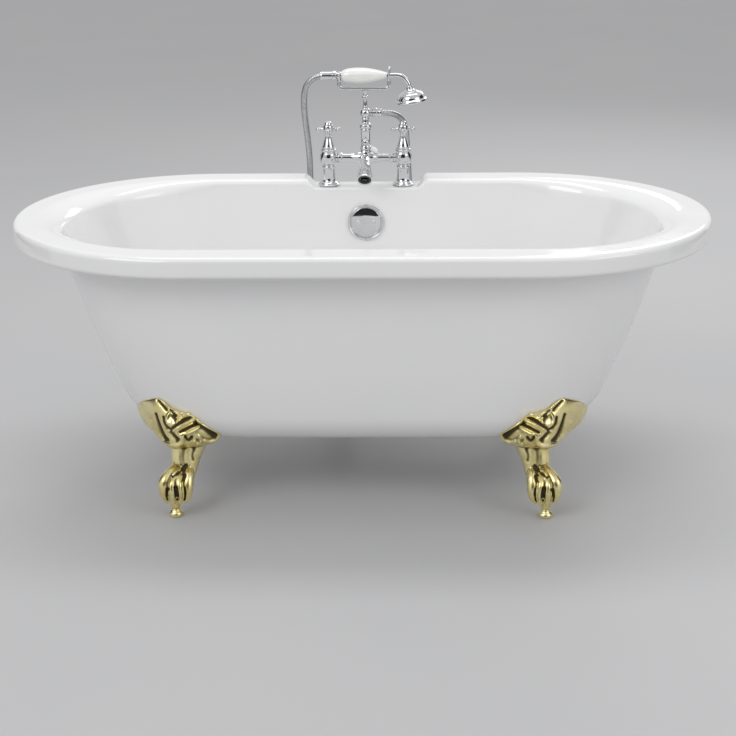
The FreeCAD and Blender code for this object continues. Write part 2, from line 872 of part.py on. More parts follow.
def spindle(side):
    return on_ledge(rod(spindle_radius, 62, 68), side * tap_x)


def cross_handle(side):
    """A cross handle: a bell-shaped hub and four arms with ball ends."""
    bore = spindle_radius + 0.05
    hub = turned(
        (bore, 118),
        (7.2, 118),
        (7.2, 121),
        (8, 127, 11.5, 131),
        (12, 134),
        (12, 142),
        (10.5, 145.5),
        (0, 145.5),
        (0, 131),
        (bore, 131),
    )
    shape = [hub]
    for step in range(4):
        angle = math.radians(90 * step)
        out = (math.cos(angle), math.sin(angle))
        drop = 3.0
        inner = (8 * out[0], 8 * out[1], handle_rise)
        outer = (arm_reach * out[0], arm_reach * out[1], handle_rise - drop)
        direction = tuple(b - a for a, b in zip(inner, outer))
        shape.append(loft_of_circles([(inner, direction, 4.4), (outer, direction, 2.9)]))
        shape.append(Part.makeSphere(5.8, V(*outer)))
    return on_ledge(fused(shape), side * tap_x)


def handle_button(side):
    button = turned((0, 145.7), (9.5, 145.7), (9.5, 147.5), dome(9.5, 147.5, 154.5))
    return on_ledge(button, side * tap_x)


spout_path = [
    # forward of the column, above the ledge, radius
    (13.0, 66.0, 12.0),
    (36.0, 65.0, 11.5),
    (62.0, 57.0, 13.5),
    (82.0, 45.5, 16.5),
    (97.0, 34.5, 19.5),
]


def spout_sections(thinner):
    sections = []
    for here, (forward, rise, radius) in enumerate(spout_path):
        before = spout_path[max(here - 1, 0)]
        after = spout_path[min(here + 1, len(spout_path) - 1)]
        direction = (0, before[0] - after[0], after[1] - before[1])
        sections.append(((0, -forward, rise), direction, radius - thinner))
    return sections


def spout():
    outer = loft_of_circles(spout_sections(0))
    bore = loft_of_circles(spout_sections(4.0))
    body = turned((0, 40), (15.8, 40), (15.8, 90), (0, 90))
    bridge = placed(rod(bridge_swell + fit, 80, -40), (0, 0, bridge_rise), (1, 0, 0))
    return on_ledge(outer.cut(bore).cut(body).cut(bridge))


def spout_outlet():
    """The ring in the spout's mouth."""
    (_, back_rise, _), (_, rise, radius) = spout_path[-2:]
    back, forward = spout_path[-2][0], spout_path[-1][0]
    direction = (0, back - forward, rise - back_rise)
    reach = math.hypot(back - forward, rise - back_rise)
    depth = 7.0
    share = depth / reach
    start = (0, -(forward - (forward - back) * share), rise + (back_rise - rise) * share)
    cone = loft_of_circles(
        [
            (start, direction, radius - 4.2 - 3.0 * share),
            ((0, -forward, rise), direction, radius - 4.2),
        ]
    )
    hole = placed(rod(radius - 9, 3 * depth), start, direction)
    hole.translate(V(0, depth * 0.4, 0))
    return on_ledge(cone.cut(hole))


def riser_column():
    """The column on the mixing body that carries the diverter and the shower's outlet."""
    shape = turned(
        (0, 86.2),
        (12.5, 86.2),
        (14, 90),
        (12.5, 94),
        (11.5, 96),
        (11.5, 134),
        (12.5, 138, 14, 140),
        (14, 147),
        (10, 150),
        (7.5, 153),
        (7.5, 158),
        (0, 158),
    )
    boss = placed(rod(8, 15), (0, 0, diverter_rise), (0, -1, 0))
    cup = placed(rod(3.3, 22), (0, 0, diverter_rise), (0, -1, 0))
    return on_ledge(shape.fuse(boss).removeSplitter().cut(cup))


def diverter_bonnet():
    ring_piece = turned((3.3, 0), (9.5, 0), (9.5, 3), (8.2, 6.4, 5.5, 7), (3.3, 7))
    return on_ledge(ring_piece, 0, -15.2, diverter_rise, (0, -1, 0))


lever_direction = (math.sin(math.radians(52)), 0, -math.cos(math.radians(52)))
lever_plane = -25.5  # in front of the column's axis


def diverter_lever():
    """The diverter's lever on its spindle, which points down to the right."""
    spindle_piece = on_ledge(rod(3, 16), 0, lever_plane + 3, diverter_rise, (0, 1, 0))
    cap = turned((0, 0), (6, 0), (6, 4.5), dome(6, 4.5, 7.4))
    hub = on_ledge(cap, 0, lever_plane + 3, diverter_rise, (0, -1, 0))
    arm = on_ledge(
        turned((0, 0), (2.6, 0), (2.2, 14), (3.4, 16), (3.4, 17.5), (0, 17.5)),
        0,
        lever_plane,
        diverter_rise,
        lever_direction,
    )
    return fused([spindle_piece, hub, arm])


def diverter_grip():
    grip = turned((0, 17.7), (3.4, 17.7), (5.6, 25, 4.6, 33), dome(4.6, 33, 37.2))
    return on_ledge(grip, 0, lever_plane, diverter_rise, lever_direction)


def shower_hub():
    """The hub on the column, with the shower's outlet to the right."""
    neck, ball_radius = 8.0, 13.2
    rise = math.sqrt(ball_radius**2 - neck**2)
    ball = turned(
        (0, 158.2),
        (9, 158.2),
        (9, 161),
        (neck, hub_rise - rise),
        (ball_radius, hub_rise, neck, hub_rise + rise),
        (6.5, 187),
        (0, 187),
    )
    outlet = placed(rod(8.2, 17.5), (0, 0, hub_rise), (1, 0, 0))
    thread = placed(rod(7.0, 23.5), (0, 0, hub_rise), (1, 0, 0))
    return on_ledge(fused([ball, outlet, thread]))


def hose_nut(length_out):
    """A union nut, with a thread at its near end and the hose's end inside it."""
    hose_bore = hose_size / 2 + 0.6
    return turned(
        (7.3, 0),
        (12, 0),
        (12, 9),
        (10.5, 10.5),
        (10.5, length_out - 6),
        (9.8, length_out),
        (hose_bore + 0.6, length_out),
        (hose_bore, length_out - 6),
        (hose_bore, 7),
        (7.3, 7),
    )


def hose_nut_lower():
    return on_ledge(hose_nut(21.0), 17.8, 0, hub_rise, (1, 0, 0))


def cradle_post():
    shape = turned(
        (0, 187.2),
        (6.5, 187.2),
        (5.2, 190),
        (4.6, 207),
        (7.4, 209.5, 7.4, 212.5),
        (4.6, 215),
        (5.2, 222),
        (7.5, cradle_rise - 3.2),
        (0, cradle_rise - 3.2),
    )
    return on_ledge(shape.cut(placed(rod(bar_radius + 0.2, 40), (-20, 0, cradle_rise), (1, 0, 0))))


def cradle_fork():
    """The U-shaped cradle. Each end is a two-tined fork that the handset lies in."""
    corner = 13.0
    slope = math.sin(math.pi / 4)
    left, right, low = prong_left, prong_right, cradle_rise
    seats = {left: ferrule_radius, right: neck_radius}

    def seat_bottom(x):
        return handset_rise - seats[x] - fit - 2 * tine_radius

    bar = [
        line((left, 0, seat_bottom(left) + 1), (left, 0, low + corner)),
        arc(
            (left, 0, low + corner),
            (left + corner * (1 - slope), 0, low + corner * (1 - slope)),
            (left + corner, 0, low),
        ),
        line((left + corner, 0, low), (right - corner, 0, low)),
        arc(
            (right - corner, 0, low),
            (right - corner * (1 - slope), 0, low + corner * (1 - slope)),
            (right, 0, low + corner),
        ),
        line((right, 0, low + corner), (right, 0, seat_bottom(right) + 1)),
    ]
    pieces = [tube_along(bar, bar_radius)]
    for x, reach in ((left, 4.0), (right, 16.0)):
        radius = seats[x] + fit + tine_radius
        top = handset_rise + reach
        tines = [
            line((x, -radius, top), (x, -radius, handset_rise)),
            arc(
                (x, -radius, handset_rise),
                (x, 0, handset_rise - radius),
                (x, radius, handset_rise),
            ),
            line((x, radius, handset_rise), (x, radius, top)),
        ]
        pieces.append(tube_along(tines, tine_radius))
        for side in (-1, 1):
            pieces.append(Part.makeSphere(tine_radius * 1.25, V(x, side * radius, top)))
    return on_ledge(fused(pieces))


# ---------------------------------------------------------------- handset
grip_left = -55.0
grip_right = 51.0


def handset_handle():
    """The ceramic grip, fattest towards the hose."""
    shape = turned(
        (0, grip_left),
        (9.5, grip_left),
        (16, -44, 18.2, -20),
        (16.4, 12, 7, grip_right),
        (0, grip_right),
    )
    return on_ledge(shape, 0, 0, handset_rise, (1, 0, 0))


def handset_ferrule():
    """The collar between grip and hose nut, which lies in the left fork."""
    near, far = grip_left - 0.2, grip_left - 12.0
    shape = turned(
        (0, near),
        (9.8, near),
        (9.8, near - 2),
        (ferrule_radius, near - 3),
        (ferrule_radius, far + 1),
        (8.4, far),
        (7.0, far - 0.1),
        (7.0, far - 6),
        (0, far - 6),
    )
    return on_ledge(shape, 0, 0, handset_rise, (1, 0, 0))


def hose_nut_upper():
    return on_ledge(hose_nut(37.0), grip_left - 12.2, 0, handset_rise, (-1, 0, 0))


neck_straight = 72.0
rose_axis = (
    math.cos(math.radians(neck_turn)),
    0,
    -math.sin(math.radians(neck_turn)),
)
rose_top = (
    neck_straight + neck_bend * math.sin(math.radians(neck_turn)),
    0,
    handset_rise - neck_bend * (1 - math.cos(math.radians(neck_turn))),
)


def handset_neck():
    """The chrome neck: a collar on the grip, and a swan neck down to the rose."""
    half = math.radians(neck_turn) / 2
    path = [
        line((grip_right + 0.2, 0, handset_rise), (neck_straight, 0, handset_rise)),
        arc(
            (neck_straight, 0, handset_rise),
            (
                neck_straight + neck_bend * math.sin(half),
                0,
                handset_rise - neck_bend * (1 - math.cos(half)),
            ),
            rose_top,
        ),
    ]
    bar = tube_along(path, neck_radius)
    collar = turned((0, 0), (7.4, 0), (7.4, 1.2), (6.0, 2.4), (0, 2.4))
    collar = placed(collar, (grip_right + 0.2, 0, handset_rise), (1, 0, 0))
    socket = placed(turned((0, -3), (7.2, -3), (7.8, 0), (0, 0)), rose_top, rose_axis)
    return on_ledge(fused([bar, collar, socket]))


def rose_bell():
    """The rose's bell, hollow, with a beaded edge."""
    rim = rose_size / 2
    shape = turned(
        (0, 0.2),
        (7.8, 0.2),
        (9.5, 5, 17, 9),
        (28, 15, rim - 4, rose_height - 9),
        (rim - 1.5, rose_height - 6),
        (rim, rose_height - 3, rim - 1.5, rose_height),
        (rim - 3.5, rose_height),
        (rim - 3.5, rose_height - 7),
        (22, 13),
        (0, 10),
    )
    return on_ledge(placed(shape, rose_top, rose_axis))


def spray_plate():
    """The rose's face, with rings of holes."""
    outer, top = rose_size / 2 - 3.8, rose_height
    plate = turned((0, top - 4), (outer, top - 4), (outer, top - 1), (0, top + 0.5))
    for count, radius in ((1, 0.0), (6, 11.0), (12, 22.0)):
        for step in range(count):
            angle = 2 * math.pi * step / count
            hole = rod(1.4, 8, rose_height - 6)
            hole.translate(V(radius * math.cos(angle), radius * math.sin(angle), 0))
            plate = plate.cut(hole)
    return on_ledge(placed(plate, rose_top, rose_axis))


def hose():
    """The shower hose, as its own tube."""
    edges, radii = route_edges(hose_route)
    shape = tube_along(edges, hose_size / 2)
    run = sum(e.Length for e in edges)
    section = math.pi * hose_size**2 / 4
    print("hose: length %.0f, volume / (section x length) %.4f" % (run, shape.Volume / (section * run)))
    print("hose: bend radii", [round(r) for r in radii])
    return shape


# ---------------------------------------------------------------- write everything
def build():
    near_form = bath_form(-fit, underside - fit, rim_bottom)
    play = fit + leaf_play
    leaf_form = bath_form(-play, underside - play, rim_bottom)
    far_form = bath_form(-saddle_thickness, underside - saddle_thickness, rim_bottom)
    nodes = {
        "basin": basin(),
        "outer_skin": outer_skin(),
        "base_board": base_board(),
        "ledge_backing_plate": ledge_backing_plate(),
    }
    bolts, washers, inserts, locknuts = [], [], [], []
    for frame in foot_frames():
        nodes["foot_" + frame.name] = foot_solid(frame, near_form, leaf_form, far_form)
        x, y = frame.point(0)
        nodes["leveller_" + frame.name] = placed(leveller(), (x, y, 0))
        locknuts.append(
            placed(hexagon(locknut_size, 7).cut(rod(glide_stem / 2 + 0.1, 7)), (x, y, 22.4))
        )
        seat = underside - fit - tongue_thickness
        for reach in bolt_reach:
            at = frame.point(-reach)
            shank = rod(bolt_size / 2, 30, -2).fuse(hexagon(17, 6.4, -8.4))
            bolts.append(placed(shank.removeSplitter(), (*at, seat)))
            washers.append(placed(ring(10.5, bolt_size / 2 + 0.2, 2, -2), (*at, seat)))
            inserts.append(
                placed(ring(bolt_size / 2 + 3, bolt_size / 2 + 0.1, 16), (*at, underside + skin))
            )
    nodes["foot_bolts"] = bolts
    nodes["foot_washers"] = washers
    nodes["board_inserts"] = inserts
    nodes["leveller_locknuts"] = locknuts
    nodes["overflow_plate"] = overflow_plate()
    nodes["overflow_screws"] = overflow_screws()
    nodes["overflow_gasket"] = overflow_gasket()
    nodes["overflow_elbow"] = overflow_elbow()
    nodes["overflow_pipe"] = overflow_pipe()
    nodes["waste_flange"] = waste_flange()
    nodes["waste_gasket"] = waste_gasket()
    nodes["waste_shoe"] = waste_shoe()
    nodes["waste_pipe"] = waste_pipe()
    nodes["waste_tee"] = waste_tee()
    nodes["waste_tailpiece"] = waste_tailpiece()
    nodes["slip_nuts"] = slip_nuts()
    nodes["stopper"] = stopper()
    for side, name in ((-1, "left"), (1, "right")):
        nodes["pillar_" + name] = pillar(side)
        nodes["spindle_" + name] = spindle(side)
        nodes["cross_handle_" + name] = cross_handle(side)
        nodes["handle_button_" + name] = handle_button(side)
    nodes["deck_seals"] = deck_seals()
    nodes["tap_tails"] = tap_tails()
    nodes["back_nuts"] = back_nuts()
    nodes["bridge_body"] = bridge_body()
    nodes["bonnets"] = bonnets()
    nodes["spout"] = spout()
    nodes["spout_outlet"] = spout_outlet()
    nodes["riser_column"] = riser_column()
    nodes["diverter_bonnet"] = diverter_bonnet()
    nodes["diverter_lever"] = diverter_lever()
    nodes["diverter_grip"] = diverter_grip()
    nodes["shower_hub"] = shower_hub()
    nodes["hose_nut_lower"] = hose_nut_lower()
    nodes["cradle_post"] = cradle_post()
    nodes["cradle_fork"] = cradle_fork()
    nodes["handset_handle"] = handset_handle()
    nodes["handset_ferrule"] = handset_ferrule()
    nodes["handset_neck"] = handset_neck()
    nodes["rose_bell"] = rose_bell()
    nodes["spray_plate"] = spray_plate()
    nodes["hose_nut_upper"] = hose_nut_upper()
    nodes["hose"] = hose()
    return nodes


def main():
    os.makedirs("parts", exist_ok=True)
    for name, shape in build().items():
        if isinstance(shape, list):
            shape = Part.makeCompound(shape)
        for solid in shape.Solids:
            if not solid.isValid() or solid.Volume <= 0:
                print("not sound:", name)
        print("%-22s %2d solids %10.1f mm3" % (name, len(shape.Solids), shape.Volume))
        shape.exportStep("parts/" + name + ".step")


main()
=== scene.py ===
# %% [markdown]
# # A roll-top bath on claw feet
# This notebook dresses a finished CAD model. The CAD parts are loaded as a fixed frame. Smooth
# surfaces, finishes, a floor, lights and a camera are then built round them, one piece to a
# cell. Pieces are drawn in millimetres and the scene is in metres. +Z is up, and the taps
# stand on the far rim, towards +Y.

import math

import bmesh
import bpy
import numpy as np
from mathutils import Matrix, Vector


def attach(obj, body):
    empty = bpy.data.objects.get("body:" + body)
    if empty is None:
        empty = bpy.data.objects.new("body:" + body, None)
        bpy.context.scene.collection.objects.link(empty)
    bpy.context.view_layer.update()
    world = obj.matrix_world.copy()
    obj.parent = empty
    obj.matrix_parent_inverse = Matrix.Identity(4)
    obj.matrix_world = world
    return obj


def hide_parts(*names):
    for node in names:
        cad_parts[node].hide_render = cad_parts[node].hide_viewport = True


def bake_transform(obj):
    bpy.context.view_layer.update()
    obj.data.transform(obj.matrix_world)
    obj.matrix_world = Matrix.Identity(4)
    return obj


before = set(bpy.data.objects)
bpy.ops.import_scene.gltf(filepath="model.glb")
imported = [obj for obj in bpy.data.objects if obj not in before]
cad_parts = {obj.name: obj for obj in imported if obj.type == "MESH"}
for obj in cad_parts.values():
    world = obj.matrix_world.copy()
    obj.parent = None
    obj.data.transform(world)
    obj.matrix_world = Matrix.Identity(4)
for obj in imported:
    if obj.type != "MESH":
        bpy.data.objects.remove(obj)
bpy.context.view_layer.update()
MM = 0.001


def shown(name, data):
    """A new object in the scene for a mesh, a lamp or a camera."""
    made = bpy.data.objects.new(name, data)
    bpy.context.scene.collection.objects.link(made)
    return made


# %% [markdown]
# ## Where the camera stands
# The ellipse of the rim and the upright taps fix the viewpoint: a long lens, three and a half
# metres away, looking down by twenty degrees. A matrix made of the camera's own right, up and
# back directions says this exactly, where stacked turns would be harder to read.

# %% The camera
PICTURE = 736  # pixels across
FOCAL = 1534.0  # the lens's length in the same pixels
STAND = Vector((0.1314, -3.2817, 1.4386))
HEADING, RAISE, TWIST = math.radians(2.10), math.radians(20.02), math.radians(-0.72)

back = Vector((
    math.sin(HEADING) * math.cos(RAISE),
    -math.cos(HEADING) * math.cos(RAISE),
    math.sin(RAISE),
))
right = (-back).cross(Vector((0, 0, 1))).normalized()
up = right.cross(-back)
right, up = (
    right * math.cos(TWIST) + up * math.sin(TWIST),
    up * math.cos(TWIST) - right * math.sin(TWIST),
)
lens = bpy.data.cameras.new("photographer")
lens.sensor_width = 36.0
lens.lens = lens.sensor_width * FOCAL / PICTURE
camera = shown("photographer", lens)
camera.matrix_world = Matrix((
    (right.x, up.x, back.x, STAND.x),
    (right.y, up.y, back.y, STAND.y),
    (right.z, up.z, back.z, STAND.z),
    (0, 0, 0, 1),
))
bpy.context.scene.camera = camera
bpy.context.scene.view_settings.view_transform = "Standard"
print("lens %.1f mm" % lens.lens)

# %% [markdown]
# ## Finishes as expressions
# A finish is a small sum of noises: a tint that drifts, a gloss that varies and a bump. Wiring
# nodes one by one hides that sum, so one class wraps a socket and lets Python's own operators
# add the Math nodes.

# %% Shader maths
class Field:
    """A value that changes over a surface: an output socket with operators."""

    def __init__(self, board, socket):
        self.board, self.socket = board, socket

    def math(self, operation, first, second):
        return self.board.node("ShaderNodeMath", {"operation": operation}, {0: first, 1: second})

    def __add__(self, other):
        return self.math("ADD", self, other)

    def __sub__(self, other):
        return self.math("SUBTRACT", self, other)

    def __rsub__(self, other):
        return self.math("SUBTRACT", other, self)

    def __mul__(self, other):
        return self.math("MULTIPLY", self, other)

    __radd__, __rmul__ = __add__, __mul__

    def between(self, low, high):
        """0 below low, 1 above high, and a smooth rise from one to the other."""
        settings = {"interpolation_type": "SMOOTHSTEP"}
        return self.board.node("ShaderNodeMapRange", settings, {0: self, 1: low, 2: high})


class Board:
    """The nodes of one finish."""

    def __init__(self, name, colour, **numbers):
        self.material = bpy.data.materials.new(name)
        self.material.use_nodes = True
        self.material.diffuse_color = (*colour, 1)
        self.tree = self.material.node_tree
        self.surface = self.tree.nodes["Principled BSDF"]
        self.surface.inputs["Base Color"].default_value = (*colour, 1)
        for socket, value in numbers.items():
            self.surface.inputs[socket.replace("_", " ")].default_value = value

    def node(self, kind, settings, sockets, output=0):
        """Any node: its settings first, then its sockets by place or name."""
        made = self.tree.nodes.new(kind)
        for key, value in settings.items():
            setattr(made, key, value)
        for key, value in sockets.items():
            if isinstance(value, Field):
                self.tree.links.new(value.socket, made.inputs[key])
            else:
                made.inputs[key].default_value = value
        return Field(self, made.outputs[output])

    def place(self, scale=(1, 1, 1)):
        where = self.node("ShaderNodeTexCoord", {}, {}, "Object")
        return self.node("ShaderNodeMapping", {}, {"Vector": where, "Scale": scale})

    def attribute(self, name):
        return self.node("ShaderNodeAttribute", {"attribute_name": name}, {}, "Fac")

    def noise(self, where, scale, detail=3.0):
        sockets = {"Vector": where, "Scale": scale, "Detail": detail}
        return self.node("ShaderNodeTexNoise", {}, sockets)

    def mix(self, share, a, b):
        colours = {0: share, 6: a if isinstance(a, Field) else (*a, 1), 7: (*b, 1)}
        return self.node("ShaderNodeMix", {"data_type": "RGBA"}, colours, 2)

    def bump(self, height, distance):
        return self.node("ShaderNodeBump", {}, {"Height": height, "Distance": distance}, "Normal")

    def done(self, **links):
        for socket, value in links.items():
            self.tree.links.new(value.socket, self.surface.inputs[socket.replace("_", " ")])
        return self.material


# %% [markdown]
# ## White acrylic
# The bath is a thermoformed sheet: nearly flat white, with a deep gloss that ripples a little
# over a hand's width. Water and cloths leave broad, faint changes of gloss.

# %% The acrylic finish
def acrylic(name, colour, shade):
    board = Board(name, colour, Roughness=0.1, Coat_Weight=0.35, Coat_Roughness=0.04)
    where = board.place()
    drift, ripple = board.noise(where, 3.0), board.noise(where, 22.0)
    wiped, peel = board.noise(board.place((1, 1, 4)), 9.0, 5.0), board.noise(where, 420.0)
    return board.done(
        Base_Color=board.mix(drift.between(0.3, 0.7) * 0.5, colour, shade),
        Roughness=0.07 + 0.07 * wiped.between(0.35, 0.7),
        Normal=board.bump(ripple + 0.02 * peel, 0.00025),
    )


bath_white = acrylic("bath_white", (0.84, 0.84, 0.835), (0.815, 0.82, 0.82))
skin_white = acrylic("skin_white", (0.83, 0.83, 0.83), (0.805, 0.81, 0.815))

# %% [markdown]
# ## Polished metal
# Chrome is bright where it was buffed and a little milky where water dried. Gold-coloured
# castings are polished on their ridges, and keep a brown patina in their hollows. Where a
# piece is sculpted, its mesh carries a number, hollow, that says how deep each point lies and
# where painted shade falls; the finish darkens by it, partly as patina, partly as painted shade.

# %% The metal finishes
def chrome_finish(name, colour, dull):
    board = Board(name, colour, Metallic=1.0, Roughness=0.07)
    where = board.place()
    film, spots = board.noise(where, 60.0, 4.0), board.noise(where, 900.0, 2.0)
    wave = board.noise(where, 130.0)
    marks = film.between(0.45, 0.75) * 0.6 + spots.between(0.62, 0.7) * 0.4
    return board.done(
        Base_Color=board.mix(marks * 0.5, colour, dull),
        Roughness=0.05 + 0.1 * marks,
        Normal=board.bump(wave, 0.00006),
    )


def gold_finish(name, sculpted):
    polished, warm = (0.96, 0.87, 0.47), (0.88, 0.74, 0.33)
    # olive and the darkest brown are patina, and on sculpted pieces painted shade too
    olive, patina_and_shade = (0.34, 0.27, 0.09), (0.06, 0.045, 0.018)
    board = Board(name, polished, Metallic=1.0, Roughness=0.2)
    where = board.place()
    cloud, grain = board.noise(where, 35.0, 5.0), board.noise(where, 700.0, 3.0)
    tint = board.mix(cloud.between(0.35, 0.7), polished, warm)
    depth = 0.15 * cloud.between(0.55, 0.85)
    if sculpted:
        # hollow darkens the colour: patina in the hollows, painted shade in creases and on the
        # claws' backs
        depth = board.attribute("hollow") + 0.2 * (cloud - 0.5)
        tint = board.mix(depth.between(0.12, 0.6), tint, olive)
        depth = depth.between(0.5, 1.0)
    return board.done(
        Base_Color=board.mix(depth, tint, patina_and_shade),
        Roughness=0.22 + 0.1 * cloud + 0.3 * depth,
        Metallic=1 - 0.5 * depth,
        Normal=board.bump(grain + 2 * cloud, 0.00012),
    )


chrome = chrome_finish("polished_chrome", (0.70, 0.71, 0.72), (0.56, 0.575, 0.59))
claw_gold = gold_finish("claw_gold", True)
glide_gold = gold_finish("glide_gold", False)

# %% [markdown]
# ## The other finishes
# Glazed ceramic has a soft tint under clear glaze, zinc a cold spangle, rubber a fine grain,
# and the board pressed flakes. The hose's jacket is wound from a grey metal strip.

# %% Ceramic, zinc, rubber, board and hose
def plain_finish(name, tints, scale, bump, gloss, stretch=(1, 1, 1), **numbers):
    """Two tints mixed by one noise, which also moves the gloss and lifts the bump. Gloss is
    the least roughness and how much the noise adds to it."""
    roughness, spread = gloss
    board = Board(name, tints[0], Roughness=roughness, **numbers)
    where = board.place(stretch)
    cloud, grain = board.noise(where, scale, 4.0), board.noise(where, scale * 9, 2.0)
    return board.done(
        Base_Color=board.mix(cloud.between(0.4, 0.62), *tints),
        Roughness=roughness + spread * cloud,
        Normal=board.bump(cloud + 0.3 * grain, bump),
    )


ceramic = plain_finish(
    "glazed_ceramic", [(0.87, 0.865, 0.84), (0.84, 0.835, 0.8)], 40, 0.00004, (0.04, 0.05),
    Coat_Weight=0.6, Coat_Roughness=0.02,
)
zinc = plain_finish(
    "zinc_steel", [(0.6, 0.61, 0.62), (0.5, 0.51, 0.53)], 160, 0.00005, (0.25, 0.2), Metallic=1.0
)
rubber = plain_finish(
    "seal_rubber", [(0.03, 0.03, 0.03), (0.05, 0.05, 0.048)], 300, 0.0001, (0.6, 0.2)
)
flakes = plain_finish(
    "pressed_board", [(0.5, 0.35, 0.2), (0.36, 0.23, 0.12)], 90, 0.0004, (0.7, 0.15), (1, 3, 1)
)
jacket = plain_finish(
    "hose_jacket", [(0.56, 0.57, 0.585), (0.45, 0.46, 0.475)], 220, 0.00008, (0.22, 0.16),
    Metallic=1.0,
)
# painted shade: the spout's outlet is near black to stand for the shade inside its mouth
bore_painted_shade = plain_finish(
    "bore_painted_shade", [(0.035, 0.035, 0.04), (0.06, 0.06, 0.065)], 200, 0.0001, (0.45, 0.2)
)

# %% [markdown]
# ## Grids of points
# Every new surface is a function of two parameters, worked out for a whole grid at once. The
# grids of a piece are joined, their shared seams and poles are merged, and the faces are
# turned outwards.

# %% From grids to pieces
def quads(rows, cols, wrap_rows, wrap_cols):
    """Each face joins the points (i, j), (i + 1, j), (i + 1, j + 1) and (i, j + 1)."""
    i = np.arange(rows if wrap_rows else rows - 1)
    j = np.arange(cols if wrap_cols else cols - 1)
    i, j = (index.ravel() for index in np.meshgrid(i, j, indexing="ij"))
    down, across = (i + 1) % rows, (j + 1) % cols
    return np.stack([i * cols + j, down * cols + j, down * cols + across, i * cols + across], 1)


def patch(grid, wrap_rows=False, wrap_cols=False):
    return grid.reshape(-1, 3), quads(*grid.shape[:2], wrap_rows, wrap_cols)


MERGED = 2e-6  # points nearer than this become one


def meshed(name, patches):
    """One closed mesh, in metres, from patches in millimetres."""
    starts = np.cumsum([0] + [len(points) for points, _ in patches])
    points = np.concatenate([points for points, _ in patches]) * MM
    faces = np.concatenate([faces + start for (_, faces), start in zip(patches, starts)])
    mesh = bpy.data.meshes.new(name)
    mesh.from_pydata(points.tolist(), [], faces.tolist())
    work = bmesh.new()
    work.from_mesh(mesh)
    bmesh.ops.remove_doubles(work, verts=work.verts, dist=MERGED)
    bmesh.ops.recalc_face_normals(work, faces=work.faces)
    work.to_mesh(mesh)
    work.free()
    return mesh


def dress(name, mesh, body, finish, replaces, crease):
    """Puts a mesh in the scene with its shading, finish and body, if it has just one.
    Edges sharper than the crease, in degrees, stay sharp."""
    mesh.polygons.foreach_set("use_smooth", np.ones(len(mesh.polygons), bool))
    mesh.set_sharp_from_angle(angle=math.radians(crease))
    mesh.materials.append(finish)
    made = shown(name, mesh)
    if body:
        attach(made, body)
    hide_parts(*replaces)
    print("%-24s %6d faces" % (name, len(mesh.polygons)))
    return made


def piece(name, patches, body, finish, replaces, crease=40):
    return dress(name, meshed(name, patches), body, finish, replaces, crease)

# %% [markdown]
# ## The hose
# The shower hose is a metre and a half of wound metal strip. It leaves the hub to the right,
# bends down behind the rim, hangs in a deep loop and comes up on the left into the handset.
# Its middle line is one smooth spline through a few points. The ribs are a ripple on a tube
# that follows the spline, because a plain round tube would hide how such a hose is made.

# %% The hose's line
HOSE_ACROSS = 0.015
HOSE_PITCH = 0.0042  # from one rib to the next
hose_points = np.array([
    (26.0, 336.0, 763.0), (52.0, 338.0, 763.0), (78.0, 357.0, 753.0), (94.0, 379.0, 727.0),
    (97.0, 390.0, 690.0), (100.0, 402.0, 640.0), (102.0, 409.0, 588.0), (106.0, 411.0, 520.0),
    (106.0, 409.0, 440.0), (101.0, 407.0, 350.0), (88.0, 406.0, 262.0), (52.0, 405.0, 196.0),
    (-8.0, 404.0, 170.0), (-70.0, 405.0, 190.0), (-112.0, 406.0, 245.0), (-130.0, 407.0, 320.0),
    (-138.0, 408.0, 410.0), (-141.0, 409.0, 500.0), (-139.0, 411.0, 585.0), (-139.0, 399.0, 650.0),
    (-143.0, 376.0, 715.0), (-147.0, 358.0, 768.0), (-144.0, 345.0, 817.0), (-131.0, 339.0, 839.0),
    (-109.0, 336.5, 851.0), (-84.0, 336.0, 851.0),
]) * MM


def spline_through(points, resolution):
    """The points of a smooth NURBS curve, as Blender works them out."""
    curve = bpy.data.curves.new("line", "CURVE")
    curve.dimensions = "3D"
    curve.resolution_u = resolution
    spline = curve.splines.new("NURBS")
    spline.points.add(len(points) - 1)
    spline.points.foreach_set("co", np.column_stack([points, np.ones(len(points))]).ravel())
    spline.order_u = 3
    spline.use_endpoint_u = True
    holder = bpy.data.objects.new("line", curve)
    line = bpy.data.meshes.new_from_object(holder)
    found = np.empty(len(line.vertices) * 3)
    line.vertices.foreach_get("co", found)
    bpy.data.objects.remove(holder)
    bpy.data.meshes.remove(line)
    return found.reshape(-1, 3)


def spaced(path, gap):
    """The same line with its points an even gap apart, and their distances along it."""
    steps = np.linalg.norm(np.diff(path, axis=0), axis=1)
    along = np.concatenate([[0], np.cumsum(steps)])
    even = np.linspace(0, along[-1], int(round(along[-1] / gap)) + 1)
    return np.stack([np.interp(even, along, path[:, k]) for k in range(3)], 1), even


hose_line = spline_through(hose_points, 24)
hose_path, hose_along = spaced(hose_line, HOSE_PITCH / 5)

# %% The hose's ribbed jacket
def tube_frames(path, level=(0, 1, 0)):
    """Two directions across a path: the level one with its part along the path taken away,
    and their cross product."""
    run = np.gradient(path, axis=0)
    run /= np.linalg.norm(run, axis=1, keepdims=True)
    level = np.asarray(level, float)
    across = level - (run @ level)[:, None] * run
    across /= np.linalg.norm(across, axis=1, keepdims=True)
    return across, np.cross(run, across)


def tube(path, radius, around, level=(0, 1, 0), capped=True):
    """Rings of radius (cos a, sin a) across a path. A cap's ring shrinks to a point."""
    across, other = tube_frames(path, level)
    angle = np.linspace(0, 2 * np.pi, around, endpoint=False)
    radius = np.broadcast_to(radius, (len(path), around))[..., None]
    ring = np.cos(angle)[:, None] * across[:, None] + np.sin(angle)[:, None] * other[:, None]
    grid = path[:, None] + radius * ring
    if capped:
        ends = [np.repeat(path[end][None, None], around, 1) for end in (0, -1)]
        grid = np.concatenate([ends[0], grid, ends[1]])
    return grid


